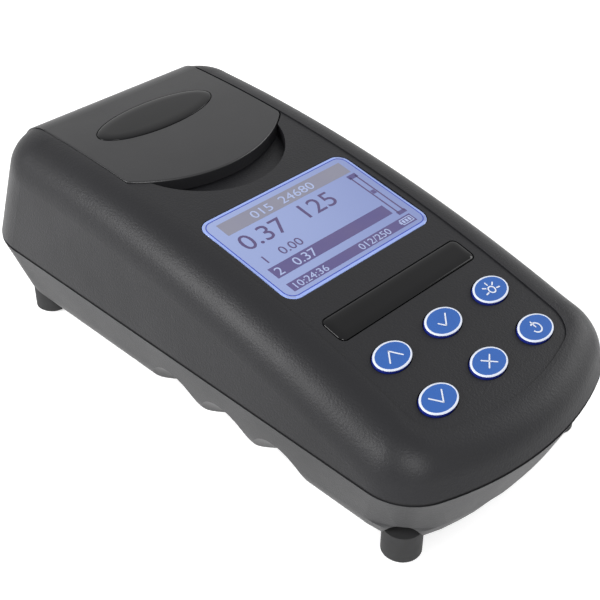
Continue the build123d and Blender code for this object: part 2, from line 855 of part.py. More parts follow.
with BuildPart() as display_glass:
    with BuildSketch(window_plane.offset(-display_top - glass_thickness)):
        Rectangle(
            display_width - 2 * display_rim - seat_gap, display_height - 2 * display_rim - seat_gap
        )
    extrude(amount=glass_thickness)
save(display_glass.part, "display_glass")

ribbon_start = window_plane.from_local_coords(Vector(0, -display_height / 4, -display_bottom))
with BuildPart() as display_ribbon:
    with BuildSketch(Plane.YZ):
        with BuildLine():
            FilletPolyline(
                (ribbon_start.Y, ribbon_start.Z),
                (ribbon_start.Y, (ribbon_start.Z + main_board_top) / 2),
                (ribbon_start.Y - ribbon_width / 4, (ribbon_start.Z + main_board_top) / 2),
                (ribbon_start.Y - ribbon_width / 4, main_board_top),
                radius=ribbon_width / 10,
            )
        trace(line_width=ribbon_thickness)
    extrude(amount=ribbon_width / 2, both=True)
    split(bisect_by=Plane.XY.offset(main_board_top), keep=Keep.TOP)
    add(display_frame.part, mode=Mode.SUBTRACT)
save(display_ribbon.part, "display_ribbon")

with BuildPart() as main_board:
    with BuildSketch(Plane.XY.offset(main_board_height)):
        with Locations((0, main_board_y)):
            RectangleRounded(main_board_width, main_board_length, board_edge / 2)
            with GridLocations(2 * main_stud_x, 2 * main_stud_y, 2, 2):
                Circle(stud_radius + seat_gap, mode=Mode.SUBTRACT)
    extrude(amount=board_thickness)
save(main_board.part, "main_board")

below_main = Plane((0, 0, main_board_height), x_dir=(1, 0, 0), z_dir=(0, 0, -1))
board_screws = studs(below_main, grid(main_stud_x, main_stud_y, (0, -main_board_y)))
save(board_screws, "board_screws")

# Optics block with its beam ports, gasket, tube adapter and captive screw
with BuildPart() as optics_block:
    with BuildSketch(Plane.XY.offset(block_base_height)):
        with Locations((0, chamber_y)):
            RectangleRounded(block_width, block_length, block_corner_radius)
            Circle(adapter_screw_radius + adapter_gap, mode=Mode.SUBTRACT)
    extrude(amount=block_top - block_base_height)
    with BuildSketch(Plane.XY.offset(bore_floor)):
        with Locations((0, chamber_y)):
            Circle(chamber_radius)
    extrude(amount=body_height, mode=Mode.SUBTRACT)
    for side, radius in ((-1, emitter_radius), (1, detector_radius)):
        with BuildSketch(Plane.YZ.offset(side * block_width / 2)):
            with Locations(*[(chamber_y, height) for height in beam_heights]):
                Circle(radius + port_gap)
            with Locations(*beam_stud_places):
                Circle(stud_radius + seat_gap)
        extrude(amount=-side * (block_width / 2 - adapter_radius + 3), mode=Mode.SUBTRACT)
save(optics_block.part, "optics_block")

with BuildPart() as chamber_gasket:
    with BuildSketch(Plane.XY.offset(block_top)):
        with Locations((0, chamber_y)):
            Circle(chamber_radius + collar_width)
            Circle(chamber_radius + seat_gap, mode=Mode.SUBTRACT)
    extrude(amount=gasket_thickness)
save(chamber_gasket.part, "chamber_gasket")

with BuildPart() as tube_adapter:
    with BuildSketch(Plane.XY.offset(bore_floor)):
        with Locations((0, chamber_y)):
            Circle(adapter_radius)
            Circle(adapter_screw_radius + adapter_gap, mode=Mode.SUBTRACT)
    extrude(amount=adapter_top - bore_floor)
    with BuildSketch(Plane.XY.offset(adapter_floor_z)):
        with Locations((0, chamber_y)):
            Circle(tube_bore_radius)
    extrude(amount=body_height, mode=Mode.SUBTRACT)
    with BuildSketch(Plane.XY.offset(adapter_seat_z)):
        with Locations((0, chamber_y)):
            Circle(adapter_screw_head_radius + seat_gap)
    extrude(amount=adapter_floor, mode=Mode.SUBTRACT)
    with BuildSketch(Plane.YZ):
        with Locations((chamber_y, beam_middle)):
            SlotOverall(
                last_beam_height - first_beam_height + 2 * beam_slot_width,
                beam_slot_width,
                rotation=90,
            )
    extrude(amount=block_width, both=True, mode=Mode.SUBTRACT)
save(tube_adapter.part, "tube_adapter")

with BuildPart() as adapter_screw:
    with BuildSketch(Plane.XY.offset(block_base_height)):
        with Locations((0, chamber_y)):
            Circle(adapter_screw_radius)
    extrude(amount=adapter_seat_z - block_base_height)
    with BuildSketch(Plane.XY.offset(adapter_seat_z)):
        with Locations((0, chamber_y)):
            Circle(adapter_screw_head_radius)
    extrude(amount=adapter_screw_head_height)
    with BuildSketch(Plane.XY.offset(adapter_seat_z + adapter_screw_head_height)):
        with Locations((0, chamber_y)):
            Rectangle(2 * adapter_screw_head_radius, adapter_screw_radius / 2)
    extrude(amount=-adapter_screw_head_height / 2, mode=Mode.SUBTRACT)
save(adapter_screw.part, "adapter_screw")

# Emitters and detectors in their ports, their boards and the screws of the boards
for side, part_name, board_name, radius, length in (
    (-1, "led_emitters", "emitter_board", emitter_radius, emitter_length),
    (1, "photodiodes", "detector_board", detector_radius, detector_length),
):
    face = Plane.YZ.offset(side * block_width / 2)
    places = [(chamber_y, height) for height in beam_heights]
    with BuildPart() as beam_parts:
        with BuildSketch(face):
            with Locations(*places):
                Circle(radius)
        extrude(amount=-side * length)
        tips = beam_parts.faces().filter_by(Plane.YZ).group_by(Axis.X)[0 if side > 0 else -1]
        fillet(tips.edges(), radius / 2)
        with BuildSketch(face):
            with Locations(*places):
                Circle(radius + beam_flange_reach)
        extrude(amount=side * beam_flange_thickness)
    save(beam_parts.part, part_name)
    outside = Plane.YZ.offset(side * (block_width / 2 + beam_flange_thickness))
    with BuildPart() as beam_board:
        with BuildSketch(outside):
            with Locations((chamber_y, beam_middle)):
                RectangleRounded(
                    block_length - board_edge,
                    last_beam_height - first_beam_height + 2 * beam_board_margin,
                    board_edge / 2,
                )
            with Locations(*beam_stud_places):
                Circle(stud_radius + seat_gap, mode=Mode.SUBTRACT)
        extrude(amount=side * board_thickness)
    save(beam_board.part, board_name)

optics_screws = Compound(
    children=[
        studs(
            Plane(
                (side * (block_width / 2 + beam_flange_thickness + board_thickness), 0, 0),
                x_dir=(0, side, 0),
                z_dir=(side, 0, 0),
            ),
            [(side * y, z) for y, z in beam_stud_places],
        )
        for side in (-1, 1)
    ]
)
save(optics_screws, "optics_screws")

# Battery on its pad, held by a strap with two screws
with BuildPart() as battery_pad:
    with BuildSketch(Plane.XY.offset(inner_floor_z)):
        with Locations((0, battery_y)):
            Rectangle(battery_width - board_edge, battery_length - board_edge)
    extrude(amount=battery_pad_thickness)
save(battery_pad.part, "battery_pad")

with BuildPart() as battery_pack:
    with BuildSketch(Plane.XY.offset(battery_bottom)):
        with Locations((0, battery_y)):
            Rectangle(battery_width, battery_length)
    extrude(amount=battery_thickness)
    fillet(battery_pack.edges(), battery_thickness / 5)
save(battery_pack.part, "battery_pack")

strap_side_y = battery_length / 2 + strap_thickness / 2 + seat_gap
strap_low_z = strap_foot_z + strap_thickness / 2
strap_high_z = battery_top + strap_thickness / 2
strap_end_y = strap_stud_y + strap_foot / 2
with BuildPart() as battery_strap:
    with BuildSketch(Plane.YZ):
        with BuildLine():
            FilletPolyline(
                (battery_y - strap_end_y, strap_low_z),
                (battery_y - strap_side_y, strap_low_z),
                (battery_y - strap_side_y, strap_high_z),
                (battery_y + strap_side_y, strap_high_z),
                (battery_y + strap_side_y, strap_low_z),
                (battery_y + strap_end_y, strap_low_z),
                radius=strap_thickness,
            )
        trace(line_width=strap_thickness)
    extrude(amount=strap_width / 2, both=True)
    with BuildSketch(Plane.XY):
        with Locations((0, battery_y)):
            with GridLocations(0, 2 * strap_stud_y, 1, 2):
                Circle(stud_radius + seat_gap)
    extrude(amount=battery_top, mode=Mode.SUBTRACT)
save(battery_strap.part, "battery_strap")

strap_screws = studs(
    Plane.XY.offset(strap_foot_z + strap_thickness), grid(0, strap_stud_y, (0, battery_y))
)
save(strap_screws, "strap_screws")

# Data and charging socket on its board
with BuildPart() as socket_board:
    with BuildSketch(Plane.XY.offset(socket_board_height)):
        with Locations((0, socket_board_y)):
            RectangleRounded(socket_board_width, socket_board_length, board_edge / 2)
        with Locations((0, socket_stud_y)):
            with GridLocations(2 * socket_stud_x, 0, 2, 1):
                Circle(stud_radius + seat_gap, mode=Mode.SUBTRACT)
    extrude(amount=board_thickness)
save(socket_board.part, "socket_board")

with BuildPart() as usb_socket:
    with BuildSketch(Plane.XZ.offset(-socket_face_y)):
        with Locations((0, socket_top - socket_height / 2)):
            RectangleRounded(socket_width, socket_height, socket_wall)
    extrude(amount=socket_length)
    with BuildSketch(Plane.XZ.offset(-socket_face_y)):
        with Locations((0, socket_top - socket_height / 2)):
            Rectangle(socket_width - 2 * socket_wall, socket_height - 2 * socket_wall)
    extrude(amount=socket_mouth_depth, mode=Mode.SUBTRACT)
    with BuildSketch(Plane.XZ.offset(socket_mouth_depth - socket_face_y)):
        with Locations((0, socket_top - socket_height / 2)):
            Rectangle(socket_width / 2, socket_height / 4)
    extrude(amount=-(socket_mouth_depth - socket_wall))
save(usb_socket.part, "usb_socket")

socket_screws = studs(
    Plane.XY.offset(socket_board_height + board_thickness), grid(socket_stud_x, 0, (0, socket_stud_y))
)
save(socket_screws, "socket_screws")

# Feet, housing screws and the brass inserts that they turn into
with BuildPart() as rubber_feet:
    with BuildSketch(Plane.XY):
        with Locations(*foot_places()):
            Circle(foot_radius)
    extrude(amount=base_z + foot_recess)
    fillet(rubber_feet.faces().group_by(Axis.Z)[0].edges(), foot_recess)
save(rubber_feet.part, "rubber_feet")

with BuildPart() as housing_screws:
    with BuildSketch(Plane.XY.offset(well_top - screw_head_height)):
        with Locations(*well_places()):
            Circle(screw_head_radius)
    extrude(amount=screw_head_height)
    with BuildSketch(Plane.XY.offset(well_top)):
        with Locations(*well_places()):
            Circle(screw_radius)
    extrude(amount=boss_bottom + insert_length - well_top - seat_gap)
save(housing_screws.part, "housing_screws")

with BuildPart() as housing_inserts:
    with BuildSketch(Plane.XY.offset(boss_bottom)):
        with Locations(*well_places()):
            Circle(insert_radius - pin_fixed_clearance)
            Circle(screw_radius + pin_fixed_clearance, mode=Mode.SUBTRACT)
    extrude(amount=insert_length - seat_gap)
save(housing_inserts.part, "housing_inserts")
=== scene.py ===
import logging
import math
from dataclasses import dataclass
from enum import Enum
from typing import Any, Callable, Iterable, Sequence

import bmesh
import bpy
from mathutils import Matrix, Vector

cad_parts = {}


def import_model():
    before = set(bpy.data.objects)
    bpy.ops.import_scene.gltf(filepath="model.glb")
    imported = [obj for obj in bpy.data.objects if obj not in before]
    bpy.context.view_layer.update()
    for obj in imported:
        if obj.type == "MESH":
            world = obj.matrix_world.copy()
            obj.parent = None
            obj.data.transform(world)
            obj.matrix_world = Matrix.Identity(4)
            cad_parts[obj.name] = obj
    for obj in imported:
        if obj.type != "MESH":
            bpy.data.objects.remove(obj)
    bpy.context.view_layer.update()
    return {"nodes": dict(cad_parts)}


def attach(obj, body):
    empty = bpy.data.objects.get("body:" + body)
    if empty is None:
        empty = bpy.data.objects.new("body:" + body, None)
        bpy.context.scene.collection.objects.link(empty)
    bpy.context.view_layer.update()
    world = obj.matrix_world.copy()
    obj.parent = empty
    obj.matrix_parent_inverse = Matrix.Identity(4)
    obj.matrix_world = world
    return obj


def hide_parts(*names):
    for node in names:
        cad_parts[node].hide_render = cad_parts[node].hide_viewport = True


log = logging.getLogger("colorimeter")

Socket = bpy.types.NodeSocket
Tree = bpy.types.NodeTree
Spot = tuple[float, float]

MM = 0.001
ZERO = Vector((0.0, 0.0, 0.0))
# Heights of prints, in millimetres: a line of ink, and the fill that other prints lie on.
INK_FILM = 0.03
FILL_FILM = 0.02
# Height of a figure against the font's size.
FIGURE_SHARE = 0.73
# Noise stays mostly between these values, so they stand for the ends of a blend.
NOISE_LIMITS = (0.3, 0.7)
COAT_ROUGHNESS = 0.04
CORNER_SEGMENTS = 10
# Degrees of a printed arc per step, and the fewest steps that it has.
ARC_STEP = 8
ARC_LEAST = 8


class Body(Enum):
    """The moving bodies of the instrument that new pieces ride on."""

    CASE = "body"
    LID = "lid"
    UP = "up"
    ENTER = "enter"
    LIGHT = "light"
    DOWN = "down"
    EXIT = "exit"
    POWER = "power"


class Sign(Enum):
    """The signs printed on the keys."""

    CHEVRON_UP = "chevron up"
    TICK = "tick"
    LAMP = "lamp"
    CHEVRON_DOWN = "chevron down"
    CROSS = "cross"
    POWER = "power"


def linear(colour: str) -> tuple[float, float, float, float]:
    """Turns an sRGB hex value into linear colour with full alpha.

    Args:
        colour: six hex digits, with or without a leading hash.

    Returns:
        Red, green, blue and alpha for a shader socket.
    """
    digits = colour.lstrip("#")
    channels = [int(digits[i : i + 2], 16) / 255 for i in (0, 2, 4)]
    curve = [c / 12.92 if c <= 0.04045 else ((c + 0.055) / 1.055) ** 2.4 for c in channels]
    return curve[0], curve[1], curve[2], 1.0


def add_node(
    tree: Tree,
    kind: str,
    settings: dict[Any, Any] | None = None,
    links: dict[Any, Socket] | None = None,
) -> bpy.types.Node:
    """Adds one shader node with its settings and links.

    Args:
        tree: the node tree that gets the node.
        kind: Blender's name of the node type.
        settings: input names or numbers, or properties, and their values.
        links: input names or numbers, and the sockets that feed them.

    Returns:
        The new node.
    """
    node = tree.nodes.new(kind)
    for key, value in (settings or {}).items():
        if isinstance(key, int) or key in node.inputs:
            node.inputs[key].default_value = value
        else:
            setattr(node, key, value)
    for key, socket in (links or {}).items():
        tree.links.new(socket, node.inputs[key])
    return node


def noise(tree: Tree, place: Socket, size_mm: float, detail: float, rough: float = 0.5) -> Socket:
    """Adds noise whose grains have a real size.

    Args:
        tree: the node tree that gets it.
        place: Object coordinates, in metres.
        size_mm: size of the grains.
        detail: number of finer layers.
        rough: weight of the finer layers.

    Returns:
        The socket with the noise.
    """
    settings = {"Scale": 1.0 / (size_mm * MM), "Detail": detail, "Roughness": rough}
    return add_node(tree, "ShaderNodeTexNoise", settings, {"Vector": place}).outputs[0]


def bump(tree: Tree, height: Socket, relief_mm: float) -> Socket:
    """Adds a normal that is bumped by a height.

    Args:
        tree: the node tree that gets it.
        height: height from 0 to 1.
        relief_mm: the real height that 1 stands for.

    Returns:
        The normal socket.
    """
    settings = {"Strength": 1.0, "Distance": relief_mm * MM}
    return add_node(tree, "ShaderNodeBump", settings, {"Height": height}).outputs[0]


def reckon(tree: Tree, operation: str, *values: float | Socket, clamp: bool = False) -> Socket:
    """Adds a step of arithmetic.

    Args:
        tree: the node tree that gets it.
        operation: Blender's name of the operation.
        values: numbers and sockets, in the order of the node's inputs.
        clamp: whether the result is kept from 0 to 1.

    Returns:
        The socket with the result.
    """
    settings: dict[Any, Any] = {"operation": operation, "use_clamp": clamp}
    links: dict[Any, Socket] = {}
    for number, value in enumerate(values):
        (links if isinstance(value, Socket) else settings)[number] = value
    return add_node(tree, "ShaderNodeMath", settings, links).outputs[0]


@dataclass(frozen=True)
class Finish:
    """A surface: its colours, gloss and the fine relief that its making leaves.

    Attributes:
        name: plain name of the material.
        colour: sRGB hex of the surface.
        shade: sRGB hex of its darker or worn patches.
        roughness: lowest and highest roughness over the surface.
        grain_mm: size of the fine relief.
        relief_mm: height of the fine relief.
        patch_mm: size of the patches that vary in tone.
        metallic: 1 for metals.
        ior: index of refraction, left at the default for metals.
        coat: weight of a clear layer on top.
        gloss: how much of its index's reflection it keeps, less than 0.5 where relief swallows it.
    """

    name: str
    colour: str
    shade: str
    roughness: tuple[float, float] = (0.45, 0.6)
    grain_mm: float = 0.4
    relief_mm: float = 0.02
    patch_mm: float = 25.0
    metallic: float = 0.0
    ior: float = 1.46
    coat: float = 0.0
    gloss: float = 0.5

    def material(self) -> bpy.types.Material:
        """Builds the material once, and returns it again when asked later."""
        made = bpy.data.materials.get(self.name)
        return made or self.build()

    def build(self) -> bpy.types.Material:
        """Builds the node tree of the finish.

        Returns:
            The new material.
        """
        material = bpy.data.materials.new(self.name)
        material.use_nodes = True
        tree = material.node_tree
        tree.nodes.clear()
        place = add_node(tree, "ShaderNodeTexCoord")
        colour, roughness = self.tone(tree, place.outputs["Object"])
        relief = self.relief(tree, place.outputs["Object"])
        settings: dict[Any, Any] = {"Metallic": self.metallic, "Coat Weight": self.coat}
        if self.coat:
            settings["Coat Roughness"] = COAT_ROUGHNESS
        if not self.metallic:
            settings["IOR"] = self.ior
            settings["Specular IOR Level"] = self.gloss
        links = {"Base Color": colour, "Roughness": roughness, "Normal": relief}
        shader = add_node(tree, "ShaderNodeBsdfPrincipled", settings, links)
        add_node(tree, "ShaderNodeOutputMaterial", links={"Surface": shader.outputs[0]})
        material.diffuse_color = linear(self.colour)
        return material

    def blend(self, tree: Tree, share: Socket) -> Socket:
        """The colour socket of a blend from the colour to its shade."""
        colours = {"data_type": "RGBA", 6: linear(self.colour), 7: linear(self.shade)}
        return add_node(tree, "ShaderNodeMix", colours, {0: share}).outputs[2]

    def dullness(self, tree: Tree, value: Socket, limits: Spot = (0.0, 1.0)) -> Socket:
        """Spreads the roughness over a value.

        Args:
            tree: the material's node tree.
            value: socket that the roughness follows.
            limits: values that give the lowest and the highest roughness.

        Returns:
            The roughness socket.
        """
        low, high = self.roughness
        ends = {"From Min": limits[0], "From Max": limits[1], "To Min": low, "To Max": high}
        return add_node(tree, "ShaderNodeMapRange", ends, {"Value": value}).outputs[0]

    def tone(self, tree: Tree, place: Socket) -> tuple[Socket, Socket]:
        """Colour and roughness that vary in soft patches.

        Args:
            tree: the material's node tree.
            place: Object coordinates.

        Returns:
            The colour socket and the roughness socket.
        """
        patches = noise(tree, place, self.patch_mm, 4.0, 0.6)
        return self.blend(tree, patches), self.dullness(tree, patches, NOISE_LIMITS)

    def relief(self, tree: Tree, place: Socket) -> Socket:
        """Fine relief as a bumped normal.

        Args:
            tree: the material's node tree.
            place: Object coordinates.

        Returns:
            The normal socket.
        """
        return bump(tree, noise(tree, place, self.grain_mm, 3.0, 0.55), self.relief_mm)


@dataclass(frozen=True)
class BrushedMetal(Finish):
    """Metal with fine lines along one axis, as drawing or turning leaves them.

    Attributes:
        axis: number of the axis that the lines follow.
        line_mm: width of the lines.
        stretch: scale of the noise along the lines, against 1 across them.
    """

    metallic: float = 1.0
    axis: int = 0
    line_mm: float = 0.25
    stretch: float = 0.04

    def relief(self, tree: Tree, place: Socket) -> Socket:
        """Lines instead of grains, stretched along the axis.

        Args:
            tree: the material's node tree.
            place: Object coordinates.

        Returns:
            The normal socket.
        """
        scale = tuple(self.stretch if axis == self.axis else 1.0 for axis in range(3))
        along = add_node(tree, "ShaderNodeMapping", {"Scale": scale}, {"Vector": place})
        return bump(tree, noise(tree, along.outputs[0], self.line_mm, 2.0), self.relief_mm)


@dataclass(frozen=True)
class DisplayPicture(Finish):
    """The display's picture, whose colour falls off from one corner to the other as painted light
    falloff.

    Attributes:
        painted_light_slant: how fast the colour turns to its shade along x and along y, per metre.
        patchiness: share of soft patches in that blend.
    """

    painted_light_slant: Spot = (9.0, -7.0)
    patchiness: float = 0.3

    def tone(self, tree: Tree, place: Socket) -> tuple[Socket, Socket]:
        """Colour that falls off across the display, as painted light falloff.

        Args:
            tree: the material's node tree.
            place: Object coordinates.

        Returns:
            The colour socket and the roughness socket.
        """
        x, y = add_node(tree, "ShaderNodeSeparateXYZ", links={0: place}).outputs[:2]
        # Painted light falloff: lighter at one corner, a painted shade towards the other.
        across = reckon(tree, "MULTIPLY_ADD", x, self.painted_light_slant[0], 0.5)
        painted_falloff = reckon(tree, "MULTIPLY_ADD", y, self.painted_light_slant[1], across, clamp=True)
        patches = noise(tree, place, self.patch_mm, 1.0)
        share = reckon(tree, "MULTIPLY_ADD", patches, self.patchiness, painted_falloff, clamp=True)
        return self.blend(tree, share), self.dullness(tree, patches)


# ABS moulded in a spark-eroded tool: dull, evenly pitted, with a soft grey sheen on round edges.
# The real pits are about 0.1 mm and are drawn coarser, so that the render shows them.
CASE_ABS = Finish(
    "spark textured abs", "#1c1c1f", "#161618", (0.4, 0.48), 0.6, 0.09, 30.0, ior=1.54, gloss=0.22
)
# The same plastic low down, where the mould's sides drag and leave it a little smoother; its colour
# is painted lighter as a painted reflection of the pale floor under it.
BASE_ABS_FLOOR_LIT = Finish(
    "spark textured base abs with painted floor light", "#242426", "#1c1c1e", (0.42, 0.5), 0.6, 0.07, 30.0, ior=1.54, gloss=0.3
)
# ABS from a finer, almost satin tool face: smoother and lighter under a broad light.
LID_ABS = Finish(
    "satin abs", "#1f1f21", "#19191b", (0.34, 0.4), 0.35, 0.03, 18.0, ior=1.54, gloss=0.38
)
# Clear urethane poured over a printed black label: a lens of high gloss.
DOME_RESIN = Finish(
    "domed urethane", "#050507", "#09090b", (0.04, 0.07), 6.0, 0.01, 12.0, ior=1.5, gloss=0.22
)
# Blue silicone keys with a hard clear skin.
KEY_BLUE = Finish("blue key", "#245aa6", "#1e4f98", (0.26, 0.34), 0.3, 0.004, 5.0, ior=1.45)
# The sides and flange of the same keys, painted a deeper blue as shade where they face away from the
# light.
KEY_SIDE_IN_SHADE = Finish("blue key side in painted shade", "#18257a", "#131e66", (0.3, 0.4), 0.3, 0.004, 5.0, ior=1.45)
# Pad printed ink with a faint lip of its own.
WHITE_INK = Finish("white ink", "#d4dae6", "#c6ccda", (0.35, 0.45), 0.2, 0.002, 4.0)
# Liquid crystal picture behind a clear pane, with a painted light falloff across it.
PICTURE = DisplayPicture(
    "display picture painted falloff", "#97a5cc", "#7885b4", (0.12, 0.16), 0.42, 0.0, 40.0, ior=1.49
)
PANE_MARGIN = Finish("pane margin", "#93a6dc", "#8397d4", (0.1, 0.14), 8.0, 0.003, 20.0, ior=1.49)
PANE_LINE = Finish("pane line", "#3247a8", "#2c3f9c", (0.12, 0.16), 8.0, 0.002, 10.0, ior=1.49)
SEGMENT = Finish("dark segment", "#54466a", "#44396a", (0.14, 0.2), 0.42, 0.004, 16.0, ior=1.49)
SEGMENT_BAR = Finish(
    "bar segment", "#5b4f76", "#42407a", (0.14, 0.2), 0.42, 0.004, 22.0, ior=1.49
)
SEGMENT_GREY = Finish(
    "grey segment", "#77778c", "#80808c", (0.14, 0.2), 0.42, 0.004, 16.0, ior=1.49
)
SEGMENT_CLEAR = Finish(
    "clear segment", "#a2aed0", "#93a0c8", (0.14, 0.2), 0.42, 0.003, 16.0, ior=1.49
)
# Nitrile and other black rubbers: dull, with a slight bloom.
RUBBER = Finish("black rubber", "#161617", "#202021", (0.7, 0.85), 0.25, 0.01, 6.0, ior=1.5)
FOAM = Finish("open cell foam", "#121213", "#1c1c1d", (0.9, 1.0), 0.35, 0.12, 3.0, ior=1.3)
MAT_RUBBER = Finish("grey silicone", "#56575c", "#4c4d52", (0.55, 0.65), 0.3, 0.004, 8.0, ior=1.41)
# Carbon-filled plastic round the light paths, left matt so that it throws little light back.
CHAMBER_BLACK = Finish(
    "matt chamber plastic", "#141415", "#0f0f10", (0.6, 0.7), 0.35, 0.015, 10.0, ior=1.4
)
WHITE_ABS = Finish("white abs", "#d4d4d6", "#cacacd", (0.45, 0.55), 0.4, 0.006, 14.0)
# Glass-fibre board under green solder resist.
RESIST = Finish(
    "solder resist", "#145c33", "#0f4f2b", (0.3, 0.4), 0.8, 0.01, 9.0, ior=1.5, coat=0.3
)
CLEAR_LENS = Finish("clear epoxy", "#d8dade", "#c4c7cc", (0.08, 0.14), 2.0, 0.004, 3.0, ior=1.52)
SMOKED_LENS = Finish("smoked epoxy", "#1c1218", "#150d12", (0.08, 0.14), 2.0, 0.004, 3.0, ior=1.52)
WRAP = Finish("shrink wrap", "#234a94", "#1d3f80", (0.2, 0.3), 3.0, 0.03, 12.0, ior=1.5)
FILM = Finish("polyimide film", "#a35c18", "#8c4c12", (0.25, 0.35), 1.2, 0.004, 8.0, ior=1.6)
STEEL = BrushedMetal(
    "zinc plated steel", "#b8b9bb", "#a2a3a6", (0.28, 0.4), relief_mm=0.004, patch_mm=3.0
)
BRASS = BrushedMetal(
    "turned brass", "#c49a4a", "#ab8238", (0.25, 0.38), relief_mm=0.004, patch_mm=3.0
)
ALUMINIUM = BrushedMetal(
    "rolled aluminium", "#c2c3c6", "#adafb2", (0.3, 0.42), relief_mm=0.004, patch_mm=9.0, axis=1
)

# CAD nodes that keep their shape, by the finish that dresses them.
NODE_FINISHES: dict[str, Finish] = {
    node: finish
    for finish, nodes in (
        # The lower housing's lighter colour is painted floor light.
        (BASE_ABS_FLOOR_LIT, "lower_housing"),
        (CASE_ABS, "upper_housing"),
        (LID_ABS, "chamber_lid"),
        (RUBBER, "housing_seal chamber_gasket rubber_feet"),
        (FOAM, "lid_light_seal battery_pad"),
        (MAT_RUBBER, "keypad_mat"),
        (WHITE_ABS, "display_frame"),
        (CLEAR_LENS, "display_glass led_emitters"),
        (SMOKED_LENS, "photodiodes"),
        (FILM, "display_ribbon"),
        (CHAMBER_BLACK, "optics_block tube_adapter"),
        (WRAP, "battery_pack"),
        (ALUMINIUM, "battery_strap"),
        (BRASS, "housing_inserts"),
        (RESIST, "keypad_board main_board emitter_board detector_board socket_board"),
        (STEEL, "hinge_pin dome_switches usb_socket adapter_screw keypad_screws board_screws"),
        (STEEL, "optics_screws strap_screws socket_screws housing_screws"),
    )
    for node in nodes.split()
}


@dataclass(frozen=True)
class Crown:
    """The long arc of the case's top, in millimetres, and planes that touch it.

    Attributes:
        top: height of the arc's highest line.
        top_y: place of that line, which is the hinge's.
        radius: radius of the arc.
    """

    top: float = 63.0
    top_y: float = 71.317
    radius: float = 473.66

    def plane(self, y: float, depth: float = 0.0) -> Matrix:
        """Placing matrix of a plane that touches the crown, or lies under it.

        Args:
            y: where the plane touches, in millimetres.
            depth: how far it lies below the crown, in millimetres.

        Returns:
            A matrix with its origin on the plane, local z outwards and local y up the slope.
        """
        tilt = math.asin((self.top_y - y) / self.radius)
        height = self.top - self.radius * (1 - math.cos(tilt))
        normal = Vector((0.0, -math.sin(tilt), math.cos(tilt)))
        origin = (Vector((0.0, y, height)) - normal * depth) * MM
        return Matrix.Translation(origin) @ Matrix.Rotation(tilt, 4, "X")


